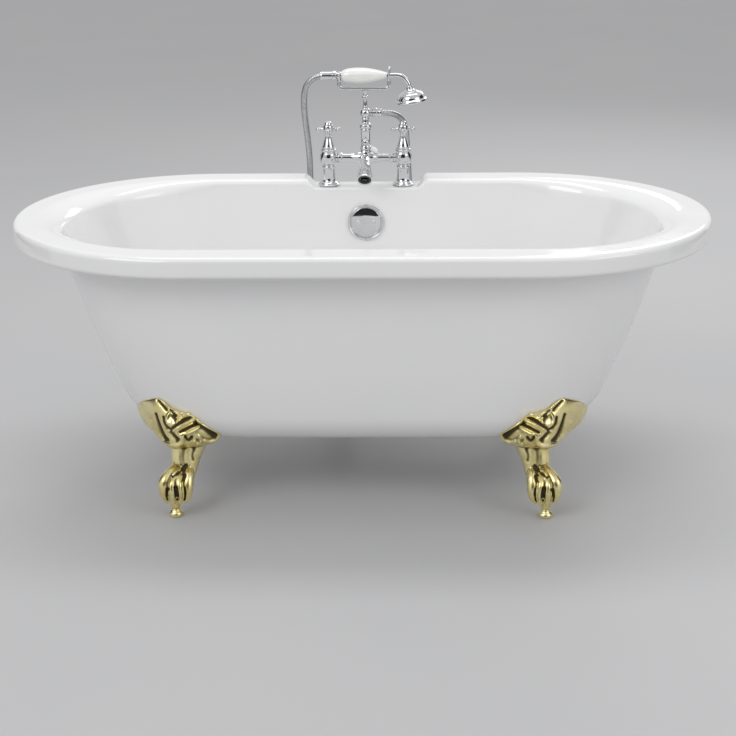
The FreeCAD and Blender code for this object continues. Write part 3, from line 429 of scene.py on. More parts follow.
hose_around = 22
turn = np.arange(hose_around) / hose_around
phase = (hose_along[:, None] / HOSE_PITCH + turn[None]) % 1
ripple = np.abs(2 * phase - 1) ** 2.5
hose_radius = HOSE_ACROSS / 2 - 0.0007 * ripple
hose = piece(
    "shower_hose", [patch(tube(hose_path, hose_radius, hose_around) / MM, wrap_cols=True)],
    None, jacket, ["hose"], crease=80,
)
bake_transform(hose)

# %% [markdown]
# ## The form of the bath
# A double-ended bath is drawn as a stack of outlines: straight sides closed by half ellipses.
# Each outline has a half length and a half width, and both follow one rule with height: the
# wall leans in on its way down, a little faster lower down, and turns into the bottom through
# an arc. The same rule with another inset gives the outside skin.

# %% Sizes and the wall's rule
LENGTH, WIDTH, RIM_TOP = 1524.0, 762.0, 610.0
HALF = np.array([LENGTH, WIDTH]) / 2  # along the bath, across the bath
RIM_LOW = 564.0
END_RATIO = 1.08  # length of the half ellipses to their width
OVERHANG = np.array([97.0, 69.0])
LEAN, BOW = np.array([0.26, 0.10]), np.array([0.00025, 0.00012])
CORNER = 75.0  # height of the round into the bottom
ROLL, FLAT = np.array([30.0, 14.0]), np.array([46.0, 65.0])
TAP_X, TAP_Y = 88.9, 336.0
LEDGE = 589.0
LEDGE_HALF, LEDGE_RAMP = 120.0, 28.0
RAMP_SPARE = 6.0  # how far the close columns reach past the ramp
WASTE_Y, WASTE_RADIUS = 100.0, 26.0


def wall(height, inset):
    """top - lean d - bow d^2 - inset sqrt(1 + slope^2), at d below the rim; slope is the
    rate at which the wall moves in, lean + 2 bow d."""
    drop = RIM_LOW - np.asarray(height, float)[..., None]
    slope = LEAN + 2 * BOW * drop
    return HALF - OVERHANG - LEAN * drop - BOW * drop**2 - inset * np.hypot(1, slope)


def corner(height, floor, inset):
    """The arc under the wall: centre + sqrt(r^2 - (floor + r - z)^2), tangent to the wall."""
    top = floor + CORNER
    angle = np.arctan(LEAN + 2 * BOW * (RIM_LOW - top))
    radius = CORNER / (1 - np.sin(angle))
    centre = wall(top, inset) - radius * np.cos(angle)
    rise = floor + radius - np.asarray(height, float)[..., None]
    return centre + np.sqrt(np.maximum(radius**2 - rise**2, 0))


def ease(value):
    """3t^2 - 2t^3 between 0 and 1."""
    t = np.clip(value, 0, 1)
    return t * t * (3 - 2 * t)


# %% Where the columns of the grid stand
def columns():
    """A parameter round the outline: 0 to 1 along the far side, 1 to 2 round the left end, 2
    to 3 along the near side and 3 to 4 round the right end, closer where the ledge steps."""
    far_half = HALF[0] - END_RATIO * HALF[1]
    inner, outer = LEDGE_HALF - RAMP_SPARE, LEDGE_HALF + LEDGE_RAMP + RAMP_SPARE
    stops = [-far_half, -outer, -inner, inner, outer, far_half]
    steps = np.concatenate([
        np.linspace(start, stop, count, endpoint=False)
        for start, stop, count in zip(stops, stops[1:], (12, 20, 24, 20, 12))
    ])
    far = (far_half - steps) / (2 * far_half) % 1
    near = np.linspace(2, 3, 36, endpoint=False)
    ends = np.linspace(0, 1, 110, endpoint=False)
    return np.unique(np.round(np.concatenate([far, 1 + ends, near, 3 + ends]), 9))


column = columns()
side = np.floor(column).astype(int)
share = column - side
on_far_side = side == 0
sides = [on_far_side, side == 1, side == 2]
turn = np.pi * share
along = np.select(sides, [1 - 2 * share, -1, 2 * share - 1], 1)
out_at_end = np.select(sides, [0, -np.sin(turn), 0], np.sin(turn))
across = np.select(sides, [1, np.cos(turn), -1], -np.cos(turn))


def outline(half, height):
    """x = (half_x - ratio half_y) along + ratio half_y out_at_end and y = half_y across, for
    every column, where half and height may differ from column to column."""
    half_x, half_y = half[..., 0], half[..., 1]
    x = (half_x - END_RATIO * half_y) * along + END_RATIO * half_y * out_at_end
    return np.stack([x, half_y * across, np.broadcast_to(height, x.shape)], -1)


rim_x = outline(HALF[None], 0.0)[:, 0]
step_up = ease((np.abs(rim_x) - LEDGE_HALF) / LEDGE_RAMP)
top_of = np.where(on_far_side, LEDGE + (RIM_TOP - LEDGE) * step_up, RIM_TOP)
sunk = (RIM_TOP - top_of) / (RIM_TOP - LEDGE)  # 1 on the ledge, 0 elsewhere
print("columns:", len(column), "on the ledge:", int((sunk > 0.5).sum()))

# %% [markdown]
# ## The inner shell
# One closed skin makes the whole shell: over the bottom, up the wall, round the roll, across
# the rim, down its outer face, and back underneath at the sheet's thickness. The ledge for
# the taps isn't cut out: the columns that cross it simply roll over at a lower level.

# %% Rows of the inner shell
INNER, OUTER = 14.0, 9.0  # insets of the shell's two faces from the outer skin
BOTTOM, SHEET, RIM_WALL = 178.0, 5.0, 16.0
TOP_ROUND, LOW_ROUND = 12.0, 11.0
WIDER, TIGHTER = 10.6, 9.0  # on the ledge the flat is wider and the roll tighter
SQUARE_FROM, SQUARE_TO = 420.0, 540.0  # heights between which columns turn square
SQUARE_NEAR, SQUARE_FADE = 190.0, 120.0  # how far from the taps they do so, and fade


def bottom_rows(inset, floor, count):
    """Straight lines from the waste's hole to where the round begins."""
    edge = outline(corner(np.array([floor]), floor, inset), floor)
    angle = np.arctan2(edge[:, 1] - WASTE_Y, edge[:, 0])
    hole = np.stack([
        WASTE_RADIUS * np.cos(angle), WASTE_Y + WASTE_RADIUS * np.sin(angle), 0 * angle + floor
    ], 1)
    part = np.linspace(0, 1, count, endpoint=False)[:, None, None]
    return hole * (1 - part) + edge * part


def round_rows(inset, floor, count):
    turn = np.linspace(0, np.pi / 2, count, endpoint=False)
    height = (floor + CORNER * (1 - np.cos(turn)))[:, None]
    return outline(corner(height, floor, inset), height)


def rolled(height, inset, top, flat, roll):
    """The wall plus (flat - wall)(1 - sqrt(1 - u^2)), where u runs from 0 to 1 up the roll."""
    into = np.clip((height[..., None] - (top[..., None] - roll)) / roll, 0, 1)
    half = wall(height, inset)
    return half + (flat - half) * (1 - np.sqrt(1 - into**2))


def keep_square(grid, low, high):
    """Near the ledge, slides each point sideways so that its column runs straight back."""
    lift = ease((grid[..., 2] - low) / (high - low))
    near = np.where(on_far_side, 1 - ease((np.abs(rim_x) - SQUARE_NEAR) / SQUARE_FADE), 0)
    x = grid[..., 0]
    grid[..., 0] = x + (rim_x - x) * lift * near
    return grid


def shell_rows(inset, floor, drop, rows, roll_rows):
    """The wall and the roll of one face, whose rim lies at a drop under the top."""
    top = top_of - drop
    spare = INNER - inset
    flat = np.stack([
        0 * sunk + HALF[0] - FLAT[0] + spare, HALF[1] - FLAT[1] + spare - WIDER * sunk
    ], 1)
    roll = np.stack([0 * sunk + ROLL[0], ROLL[1] - TIGHTER * sunk], 1)
    part = np.linspace(0, 1, rows, endpoint=False)[:, None]
    straight = floor + CORNER + (top - ROLL[0] - floor - CORNER) * part
    turn = np.linspace(0, np.pi / 2, roll_rows)[:, None]
    bend = top - ROLL[0] + ROLL[0] * np.sin(turn)
    height = np.concatenate([straight, bend])
    half = rolled(height, inset, top, flat, roll)
    return keep_square(outline(half, height), SQUARE_FROM, SQUARE_TO)


def rim_row(inwards, height):
    """A row at a distance inside the rim's edge. Height may be a number or one to a column."""
    return outline((HALF - inwards)[None], height)


def shell():
    quarter = np.linspace(0, np.pi / 2, 9)
    inside = [
        bottom_rows(INNER, BOTTOM, 9),
        round_rows(INNER, BOTTOM, 14),
        shell_rows(INNER, BOTTOM, 0.0, 22, 20),
    ]
    flat_end = inside[-1][-1]
    edge = rim_row(TOP_ROUND, top_of)
    part = np.linspace(0, 1, 7)[1:, None, None]
    rim = [flat_end + (edge - flat_end) * part]
    rim.append(np.stack([
        rim_row(TOP_ROUND * (1 - np.sin(a)), top_of - TOP_ROUND * (1 - np.cos(a)))
        for a in quarter[1:]
    ]))
    low_start = RIM_LOW + LOW_ROUND
    face = np.linspace(0, 1, 5)[1:-1]
    rim.append(np.stack([
        rim_row(0.0, (top_of - TOP_ROUND) * (1 - f) + low_start * f) for f in face
    ]))
    rim.append(np.stack([
        rim_row(LOW_ROUND * (1 - np.cos(a)), low_start - LOW_ROUND * np.sin(a)) for a in quarter
    ]))
    rim.append(np.stack([
        rim_row(RIM_WALL - 1.5, RIM_LOW), rim_row(RIM_WALL, RIM_LOW + 1.5),
        rim_row(RIM_WALL, top_of - SHEET - 5), rim_row(RIM_WALL + 5, top_of - SHEET),
    ]))
    outside = [
        shell_rows(OUTER, BOTTOM - SHEET, SHEET, 12, 12)[::-1],
        round_rows(OUTER, BOTTOM - SHEET, 10)[::-1],
        bottom_rows(OUTER, BOTTOM - SHEET, 3)[::-1],
    ]
    grid = np.concatenate(inside + rim + outside)
    return patch(grid, wrap_rows=True, wrap_cols=True)


piece("bath_shell", [shell()], "bath", bath_white, ["basin"], crease=50)

# %% [markdown]
# ## The outside skin
# The outside is a second skin of the same sheet, four millimetres thick, with a flange that
# closes the rim from below.

# %% Rows of the outside skin
UNDERSIDE, SKIN = 150.0, 4.0
FLANGE_LOW, FLANGE_IN = RIM_LOW + 2, RIM_WALL + 0.3


def skin_face(inset, floor, top, rows):
    part = np.linspace(0, 1, rows)[:, None]
    height = floor + CORNER + (top - floor - CORNER) * part
    return outline(wall(height, inset), height)


def skin():
    outside = [
        bottom_rows(0.0, UNDERSIDE, 4),
        round_rows(0.0, UNDERSIDE, 16),
        skin_face(0.0, UNDERSIDE, FLANGE_LOW - 3, 22),
    ]
    # a small round where the skin meets its flange
    foot = outside[-1][-1]
    flange = rim_row(FLANGE_IN, FLANGE_LOW)
    reach = np.array([0.03, 0.1, 1.0])[:, None, None]
    turned_out = foot * (1 - reach) + flange * reach
    turned_out[..., 2] = np.array([FLANGE_LOW - 0.8, FLANGE_LOW, FLANGE_LOW])[:, None]
    top = FLANGE_LOW + SKIN
    flange_top = np.stack([rim_row(FLANGE_IN, top)])
    inside = [
        skin_face(SKIN, UNDERSIDE + SKIN, top, 12)[::-1],
        round_rows(SKIN, UNDERSIDE + SKIN, 10)[::-1],
        bottom_rows(SKIN, UNDERSIDE + SKIN, 3)[::-1],
    ]
    grid = np.concatenate(outside + [turned_out, flange_top] + inside)
    return patch(grid, wrap_rows=True, wrap_cols=True)


piece("bath_skin", [skin()], "bath", skin_white, ["outer_skin"], crease=50)

# %% [markdown]
# ## One claw foot, drawn where it is seen
# The front left foot is worked out once, and the other three are its mirror images. It is
# drawn in a frame of its own: u runs to the viewer's right, v upwards across the line of sight
# and depth towards the viewer, all in millimetres from the glide. Lines that were measured in
# a front view can then be used as they are.

# %% The foot's frame and two smooth fits
GLIDE = np.array([-400.0, -271.0, 0.0])
TOWARDS = np.array([0.1596, -0.9043, 0.3960])
ASIDE = np.array([0.9848, 0.1738, 0.0])
ABOVE = np.cross(TOWARDS, ASIDE)
FORWARD = np.array([0.1738, -0.9848, 0.0])


def drawn(across, height, depth):
    across, height, depth = (part[..., None] for part in (across, height, depth))
    return GLIDE + across * ASIDE + height * ABOVE + depth * TOWARDS


def stood(points):
    """From (to the right, forwards, up) beside the glide to the bath's own frame."""
    return GLIDE + points @ np.stack([ASIDE, FORWARD, [0.0, 0.0, 1.0]])


def flow(knots, steps, closed=False):
    """A smooth line through knots b and c with neighbours a and d, after Catmull and Rom:
    (2b + (c - a) t + (2a - 5b + 4c - d) t^2 + (3b - a - 3c + d) t^3) / 2."""
    knots = np.asarray(knots, float)
    ends = [knots[-1:], knots, knots[:2]] if closed else [knots[:1], knots, knots[-1:]]
    padded = np.concatenate(ends)
    a, b, c, d = (padded[k:len(padded) - 3 + k, None] for k in range(4))
    t = np.linspace(0, 1, steps, endpoint=False)[None, :, None]
    bend, twist = 2 * a - 5 * b + 4 * c - d, 3 * b - a - 3 * c + d
    line = (2 * b + (c - a) * t + bend * t**2 + twist * t**3) / 2
    line = line.reshape(-1, knots.shape[1])
    return line if closed else np.concatenate([line, knots[-1:]])


def thin_plate(knots):
    """The smoothest depth over (u, v) through knots (u, v, depth): a plane plus a sum of
    r^2 log r about each knot."""
    places, depths = knots[:, :2], knots[:, 2]

    def kernel(where):
        square = ((where[:, None] - places[None]) ** 2).sum(-1)
        return square * np.log(square + 1e-9)

    plane = np.column_stack([np.ones(len(places)), places])
    system = np.block([[kernel(places), plane], [plane.T, np.zeros((3, 3))]])
    weights = np.linalg.solve(system, np.concatenate([depths, np.zeros(3)]))

    def surface(where):
        flat = where.reshape(-1, 2)
        terms = np.column_stack([kernel(flat), np.ones(len(flat)), flat])
        return (terms @ weights).reshape(where.shape[:-1])

    return surface


# %% [markdown]
# ## The leaf and knee
# A leaf wraps the bath's corner and swells into the knee below it. Its edge is a closed line,
# its front and back are the smoothest surfaces through a few depths, and rings from the middle
# to the edge join the two. The edge is thick and rounded, as on a casting.

# %% The leaf's two faces
leaf_edge = np.array([
    (-72, 245, -62), (-64, 251, -15), (-46, 254, 25), (-26, 255, 53), (-10, 245, 62), (4, 231, 63),
    (27, 221, 73), (50, 211, 80), (62, 199, 78), (82, 183, 71), (105, 167, 54), (92, 154, 40),
    (75, 148, 45), (48, 145, 55), (21, 145, 60), (-5, 147, 40), (-20, 158, 15), (-30, 175, -10),
    (-42, 188, -30), (-57, 204, -50), (-69, 228, -68),
], float)
leaf_front = np.array([
    (-46, 226, 14), (-25, 205, 38), (-12, 222, 60), (8, 199, 76), (40, 190, 84), (72, 170, 64),
    (8, 172, 80), (32, 164, 80), (-14, 184, 44),
], float)
leaf_back = np.array([
    (-44, 228, -10), (-23, 209, -12), (8, 202, 28), (40, 191, 46), (72, 172, 34), (10, 170, 15),
    (32, 162, 25),
], float)
MIDDLE = np.array([12.0, 190.0])
SWELL = 6  # how much thicker the casting is than its two surfaces

edge = flow(leaf_edge[:, :2], 14, closed=True)
share = (1 - (1 - np.linspace(0, 1, 60)) ** 1.5)[:, None, None]
field = MIDDLE + share * (edge[None] - MIDDLE)
front_depth = thin_plate(np.concatenate([leaf_edge, leaf_front]))(field)
back_depth = thin_plate(np.concatenate([leaf_edge, leaf_back]))(field)
roundness = np.sqrt(np.clip(1 - share[..., 0] ** 12, 0, 1))
leaf_faces = [
    patch(drawn(field[..., 0], field[..., 1], depth), wrap_cols=True)
    for depth in (
        front_depth + SWELL * roundness,
        front_depth + (back_depth - front_depth - SWELL) * roundness,
    )
]

# %% [markdown]
# ## Shank and toes
# The shank is a stack of level ellipses that sway back to the ankle and forward to the pad.
# Four toes spring from the ankle, swell at the knuckle and narrow to claws over the glide.

# %% The leg's ellipses and the toes' tubes
leg_knots = [
    # to the right, forwards, up, half width, half depth
    (34, -52, 204, 40, 30), (36, -45, 174, 42, 30), (36, -38, 148, 38, 27), (30, -33, 126, 33, 25),
    (27, -30, 112, 30, 24), (25, -26, 100, 28, 24), (19, -16, 87, 27, 25), (13, -8, 74, 27, 26),
    (9, -4, 60, 26, 26), (6, -2, 48, 22, 23), (4, 0, 38, 14, 15),
]
toe_knots = [
    # to the right, forwards, up, radius
    [(9, -20, 113, 5), (-7, -3, 101, 10.5), (-20, 9, 86, 13.5), (-22, 13, 68, 12.5),
     (-20, 14, 52, 9.5), (-15, 11, 37, 4.5)],
    [(10, -12, 108, 5), (1, 10, 97, 8), (-5, 22, 86, 9.5), (-6, 28, 71, 9.5),
     (-5, 28, 56, 8), (-4, 22, 38, 4)],
    [(15, -12, 108, 5), (12, 11, 96, 7.5), (10, 24, 85, 8.5), (11, 30, 71, 8.5),
     (12, 29, 56, 7), (11, 23, 38, 3.6)],
    [(33, -22, 110, 6), (31, 1, 93, 11.5), (28, 12, 77, 12.5), (27, 16, 62, 11.5),
     (25, 16, 47, 8.5), (19, 12, 36, 4)],
]
leg = flow(leg_knots, 8)
angle = np.linspace(0, 2 * np.pi, 48, endpoint=False)
rings = np.concatenate([leg[:1], leg, leg[-1:]])
rings[[0, -1], 3:] = 0
leg_grid = np.stack([
    rings[:, :1] + rings[:, 3:4] * np.cos(angle), rings[:, 1:2] + rings[:, 4:5] * np.sin(angle),
    np.broadcast_to(rings[:, 2:3], (len(rings), len(angle))),
], -1)
shells = leaf_faces + [patch(stood(leg_grid), wrap_cols=True)]
for knots in toe_knots:
    toe = flow(knots, 7)
    shells.append(patch(stood(tube(toe[:, :3], toe[:, 3:], 20, level=(1, 0, 0))), wrap_cols=True))

# %% [markdown]
# ## Joining and carving
# The overlapping shells become one skin of small even squares. Relief is then pressed into
# it: each stroke is a line with a depth and a width, and a point at a distance d from it moves
# along its normal by depth * exp(-(d / width)^2). Only points that face the viewer move. The
# same strokes, with the natural hollows, say where patina and painted shade lie, and the claws'
# backs that face away from the viewer take painted shade.

# %% The relief's strokes
strokes = [
    # depth (a groove is negative), width, points (u, v)
    (-5.0, 2.6, [(-25, 250), (-17, 240), (-8, 229)]),
    (-4.5, 2.4, [(1, 229), (5, 222), (11, 214)]),
    (-5.0, 2.8, [(-32, 221), (-29, 208), (-24, 192), (-18, 176), (-10, 163)]),
    (4.0, 5.0, [(-40, 205), (-34, 190), (-26, 172)]),
    (-5.5, 3.2, [(1, 189), (15, 197), (28, 205), (44, 210)]),
    (-5.5, 3.2, [(18, 178), (34, 185), (49, 191), (61, 196)]),
    (-6.0, 6.0, [(54, 199), (66, 187), (80, 175), (92, 166)]),
    (-7.0, 4.6, [(-2, 180), (3, 170), (11, 161)]),
    (-5.0, 2.6, [(28, 168), (35, 159), (43, 166)]),
    (-4.5, 2.6, [(-16, 213), (-15, 201), (-9, 191), (-1, 184)]),
    (-2.2, 3.0, [(5, 213), (9, 206), (8, 199)]),
    (3.6, 3.6, [(-6, 199), (-7, 209), (-2, 219), (8, 222), (16, 217), (18, 208)]),
    (5.5, 3.4, [(5, 182), (17, 188), (32, 195), (50, 202)]),
    (5.0, 3.2, [(31, 174), (44, 179), (60, 187)]),
    (4.0, 3.0, [(20, 206), (30, 212), (40, 216)]),
    (4.5, 3.2, [(-15, 162), (-5, 154), (10, 151), (22, 156), (22, 166)]),
    (4.5, 2.8, [(46, 157), (53, 152), (62, 159), (57, 167)]),
    (4.5, 3.2, [(68, 157), (81, 154), (97, 160)]),
    (-2.2, 7.0, [(24, 143), (22, 130), (22, 116), (24, 106)]),
    (-2.0, 4.0, [(46, 140), (42, 128), (43, 118)]),
    (-3.2, 3.0, [(27, 106), (16, 97), (7, 91), (-3, 86)]),
    (-2.2, 2.8, [(15, 90), (23, 86), (17, 74)]),
    (-1.2, 2.8, [(-3, 86), (-12, 72), (-15, 58)]),
    (-1.2, 2.8, [(1, 80), (1, 66), (2, 58)]),
    (-1.2, 2.8, [(17, 74), (17, 62), (18, 55)]),
    (-5.5, 3.0, [(-15, 58), (-17, 46), (-16, 34)]),
    (-5.5, 3.2, [(2, 60), (3, 46), (3, 34)]),
    (-5.5, 3.0, [(18, 58), (19, 46), (17, 34)]),
]


def from_line(places, line):
    """The distance of each place from a bent line."""
    nearest = np.full(len(places), np.inf)
    for start, end in zip(line[:-1], line[1:]):
        run = end - start
        share = np.clip((places - start) @ run / (run @ run), 0, 1)
        nearest = np.minimum(nearest, np.linalg.norm(places - start - share[:, None] * run, axis=1))
    return nearest


# %% The joined and carved foot
def read(mesh, what="co"):
    found = np.empty(len(mesh.vertices) * 3)
    mesh.vertices.foreach_get(what, found)
    return found.reshape(-1, 3)


def moved(mesh, points):
    """Moves a mesh's points and gives its new normals."""
    mesh.vertices.foreach_set("co", points.ravel())
    mesh.update()
    return read(mesh, "normal")


def neighbour_mean(values, edges):
    """The mean of each point's neighbours, along the mesh's edges."""
    count = np.bincount(edges.ravel(), minlength=len(values))
    total = [
        np.bincount(edges[:, 0], values[edges[:, 1], k], len(values))
        + np.bincount(edges[:, 1], values[edges[:, 0], k], len(values))
        for k in range(values.shape[1])
    ]
    return np.stack(total, 1) / count[:, None]


def smoothed(values, edges, rounds, back=0.0):
    """Steps half way to the neighbours' mean, each followed by a step back."""
    for _ in range(rounds):
        values = values + 0.5 * (neighbour_mean(values, edges) - values)
        if back:
            values = values - back * (neighbour_mean(values, edges) - values)
    return values


def joined(shells, voxel):
    """One even skin round overlapping shells."""
    rough = meshed("rough", shells)
    holder = shown("rough", rough)
    skin = holder.modifiers.new("skin", "REMESH")
    skin.mode, skin.voxel_size = "VOXEL", voxel
    graph = bpy.context.evaluated_depsgraph_get()
    mesh = bpy.data.meshes.new_from_object(holder.evaluated_get(graph))
    bpy.data.objects.remove(holder)
    bpy.data.meshes.remove(rough)
    return mesh


VOXEL = 0.0015
# painted shade on the claws' backs, low down and facing away from the viewer
CLAW_SHADE_TOP, CLAW_SHADE_FADE = 46, 14  # the claws' backs darken below this height, over this reach
VALLEY_DEPTH = 1.2  # how far below its smoothed form a point counts as deep
foot_mesh = joined(shells, VOXEL)
edges = np.empty(len(foot_mesh.edges) * 2, int)
foot_mesh.edges.foreach_get("vertices", edges)
edges = edges.reshape(-1, 2)
points = smoothed(read(foot_mesh), edges, rounds=10, back=0.5)
normals = moved(foot_mesh, points)
aside = points / MM - GLIDE
places = np.column_stack([aside @ ASIDE, aside @ ABOVE])
facing = np.clip(3 * (normals @ TOWARDS), 0, 1)
lift, dark = np.zeros(len(points)), np.zeros(len(points))
for depth, width, line in strokes:
    near = from_line(places, flow(np.array(line, float), 6))
    lift += depth * np.exp(-((near / width) ** 2)) * facing
    if depth < 0:
        # a groove's darkness: a core that is partly patina and partly painted shade, and a wider
        # halo of painted shade round it, darker for narrow grooves
        core = 0.7 * np.exp(-((near / (1.1 * width)) ** 2))
        shade = core + 0.5 * np.exp(-((near / (2.6 * width)) ** 2))
        dark = np.maximum(dark, shade * facing * min(1.0, -depth / width))
points = smoothed(points + (lift * MM)[:, None] * normals, edges, rounds=2)
normals = moved(foot_mesh, points)
broad = smoothed(points, edges, rounds=60)
# concave places below the smoothed form darken, partly as patina, partly as painted shade
valley_patina_and_shade = ((broad - points) * normals).sum(1) / MM / VALLEY_DEPTH
# painted shade on the claws' backs, fading in below a height, used where they face away from the
# viewer
claw_shade = np.clip((CLAW_SHADE_TOP - aside[:, 2]) / CLAW_SHADE_FADE, 0, 1) * 0.5
valley_patina_and_shade = np.clip(valley_patina_and_shade, -0.6, 1) * 0.7
# hollow sums patina and painted shade of grooves and hollows with painted shade on the claws' backs
hollow = np.clip(0.75 * dark + valley_patina_and_shade + claw_shade * (1 - facing), 0, 1)
foot_mesh.attributes.new("hollow", "FLOAT", "POINT").data.foreach_set("value", hollow)
print("foot:", len(points), "points, hollow mean %.2f" % hollow.mean())

# %% The four feet
# each corner of the bath, and its mirror signs seen from the front left
CORNERS = (
    ("front_left", 1, 1), ("front_right", -1, 1), ("back_left", 1, -1), ("back_right", -1, -1),
)
for name, side_x, side_y in CORNERS:
    mesh = foot_mesh.copy()
    mesh.transform(Matrix.Diagonal((side_x, side_y, 1, 1)))
    if side_x * side_y < 0:
        mesh.flip_normals()
    dress("claw_" + name, mesh, "bath", claw_gold, ["foot_" + name], crease=180)
bpy.data.meshes.remove(foot_mesh)

# %% [markdown]
# ## Turned and bent chrome
# Most of the mixer was turned on a lathe, so each piece is a profile spun round an axis. The
# CAD's sharp corners would never catch the light as polished metal does: here every corner is
# a small curve. The same rounding bends the straight runs of a bar.

# %% Rounded profiles, lathe and balls
def rounded(corners, steps=6):
    """Each corner with a rounding q becomes the curve (1 - t)^2 a + 2 t (1 - t) c + t^2 b, whose
    ends a and b lie q away from the corner c. A corner's last number is its rounding."""
    corners = np.array(corners, float)
    points, reach = corners[:, :-1], corners[:, -1]
    t = np.linspace(0, 1, steps)[:, None]
    line = [points[:1]]
    for before, here, after, far in zip(points, points[1:], points[2:], reach[1:]):
        back, on = before - here, after - here
        start = here + back * min(far / np.linalg.norm(back), 0.5)
        end = here + on * min(far / np.linalg.norm(on), 0.5)
        line.append((1 - t) ** 2 * start + 2 * t * (1 - t) * here + t**2 * end)
    return np.concatenate(line + [points[-1:]])


def lathe(profile, foot, axis=(0, 0, 1), around=56, hollow=False):
    """foot + h axis + r (cos a e + sin a n), with e and n square to the axis, for each point
    (r, h) of a profile. A hollow profile closes on itself instead of on the axis."""
    axis = np.array(axis, float) / np.linalg.norm(axis)
    first = np.array((0.0, 1.0, 0.0) if abs(axis[1]) < 0.9 else (1.0, 0.0, 0.0))
    first -= axis * (first @ axis)
    first /= np.linalg.norm(first)
    angle = np.linspace(0, 2 * np.pi, around, endpoint=False)[:, None]
    ring = np.cos(angle) * first + np.sin(angle) * np.cross(axis, first)
    grid = np.array(foot) + profile[:, 1, None, None] * axis + profile[:, 0, None, None] * ring
    return patch(grid, wrap_rows=hollow, wrap_cols=True)


def turned(corners, foot, axis=(0, 0, 1), around=56, hollow=False):
    padded = [(*corner, 0.0)[:3] for corner in corners]
    return lathe(rounded(padded), foot, axis, around, hollow)


def ball_arc(radius, height, start, end, steps=18):
    """(r sin a, height - r cos a): part of a ball's outline, from the angle start to end."""
    a = np.linspace(start, end, steps)
    return np.stack([radius * np.sin(a), height - radius * np.cos(a)], 1)


def ball(centre, radius):
    return lathe(ball_arc(radius, 0, 0, np.pi), centre, around=28)


def ledge(x=0.0, y=0.0, rise=0.0):
    return (x, TAP_Y + y, LEDGE + rise)


def bar(path, radius, around=28, level=(0, 1, 0)):
    return patch(tube(path, radius, around, level), wrap_cols=True)


def chromed(name, patches, node, body="bath", crease=50):
    """A chrome piece that takes the place of one CAD node."""
    piece(name, patches, body, chrome, [node], crease)


# %% [markdown]
# ## Pillars, bonnets and cross handles
# A pillar flares at its foot, has a bead under its round valve body, and a spigot to the
# bridge. The handle's four arms taper to a collar and a ball, and a domed button closes it.

# %% The two taps
# heights over the ledge
BRIDGE, HANDLE, LEVER, HUB, CRADLE, GRIP = 67.0, 137.0, 107.0, 174.0, 231.0, 262.0
PLAY = 0.3  # the gap left between pieces
ARM_FALL = -0.1875  # how far an arm drops for each millimetre outwards
taper = rounded([
    (0, 7, 0), (4.8, 7, 0), (3.9, 12.5, 3), (3.1, 17.2, 1), (4.3, 17.8, 0.3), (4.3, 18.9, 0.3),
    (3.2, 19.3, 0.2),
])
arm = np.concatenate([taper, ball_arc(5.7, 24, 0.62, np.pi)])
bonnet_patches = []
for name, side in (("left", -1), ("right", 1)):
    foot = ledge(side * TAP_X)
    pillar = turned(
        [(0, 1), (25.2, 1, 0.8), (25.5, 3.9, 1), (23.8, 5.2, 0.8), (22.4, 5.4, 0.6),
         (21.6, 7.2, 1), (15.2, 12, 8), (14.2, 32, 8), (13.6, 42, 1), (16.4, 43.4, 1.2),
         (16.4, 47, 1.2), (14.8, 48.2, 0.8), (14.9, 50.6, 1), (20.4, 55, 6), (21.2, 67, 8),
         (19.8, 78, 7), (16.2, 82.6, 2), (18.5, 83.8, 0.8), (18.6, 88, 0.8), (17, 89, 0.5),
         (0, 89)],
        foot, around=72,
    )
    spigot = turned(
        [(0, 0), (11.6, 0), (11.6, 21, 0.5), (13, 22.9), (0, 22.9)],
        ledge(side * TAP_X, 0, BRIDGE), (-side, 0, 0),
    )
    chromed("tap_pillar_" + name, [pillar, spigot], "pillar_" + name)
    bonnet_patches.append(turned(
        [(0, 89.1), (16.4, 89.1, 0.5), (16.6, 92.4, 0.8), (15, 94, 0.8), (13.4, 99, 4),
         (9.6, 110, 7), (8.4, 113.5, 0.6), (9, 114.4, 0.5), (8.8, 117, 0.6), (0, 117)],
        foot,
    ))
    hub = turned(
        [(0, 118), (7.3, 118, 0.6), (7.6, 121, 1), (8.4, 126, 2), (11.6, 130, 2), (12.4, 134, 2),
         (12.2, 141.6, 2), (10.6, 145.4, 0.8), (0, 145.4)],
        foot,
    )
    arms = [
        lathe(arm, ledge(side * TAP_X, 0, HANDLE + 1.5), (math.cos(a), math.sin(a), ARM_FALL), 30)
        for a in (0, math.pi / 2, math.pi, 3 * math.pi / 2)
    ]
    chromed("tap_cross_" + name, [hub, *arms], "cross_handle_" + name, "tap_" + name)
    button = turned(
        [(0, 145.6), (9.2, 145.6, 0.3), (9.5, 147.2, 0.5), (8.7, 148.2, 0.4), (7.6, 152, 3),
         (3.5, 154.5, 2), (0, 154.5)],
        foot,
    )
    chromed("tap_button_" + name, [button], "handle_button_" + name, "tap_" + name)
chromed("tap_bonnets", bonnet_patches, "bonnets")

# %% [markdown]
# ## Bridge, spout and column
# The bridge swells at its middle, where the spout springs forward and opens into a downward
# mouth. Above it stands the column with the diverter, the hub and the cradle's post.

# %% The bridge and the mixing body
half = [
    (0, 66, 0), (12.2, 66, 0.6), (12.7, 64.8, 0.6), (12.7, 58.4, 0.6), (11.8, 57.2, 0.5),
    (10.6, 56, 0.6), (10.4, 38, 8), (12.6, 26, 9), (17, 15, 8),
]
profile = [(r, -h, q) for r, h, q in half] + half[::-1]
bridge_patches = [
    turned(profile, ledge(0, 0, BRIDGE), (1, 0, 0)),
    turned(
        [(0, 48), (9, 48.4, 2), (15, 56, 5), (15.6, 66, 6), (15.5, 80, 3), (13, 86, 1), (0, 86)],
        ledge(),
    ),
]
chromed("mixer_bridge", bridge_patches, "bridge_body")

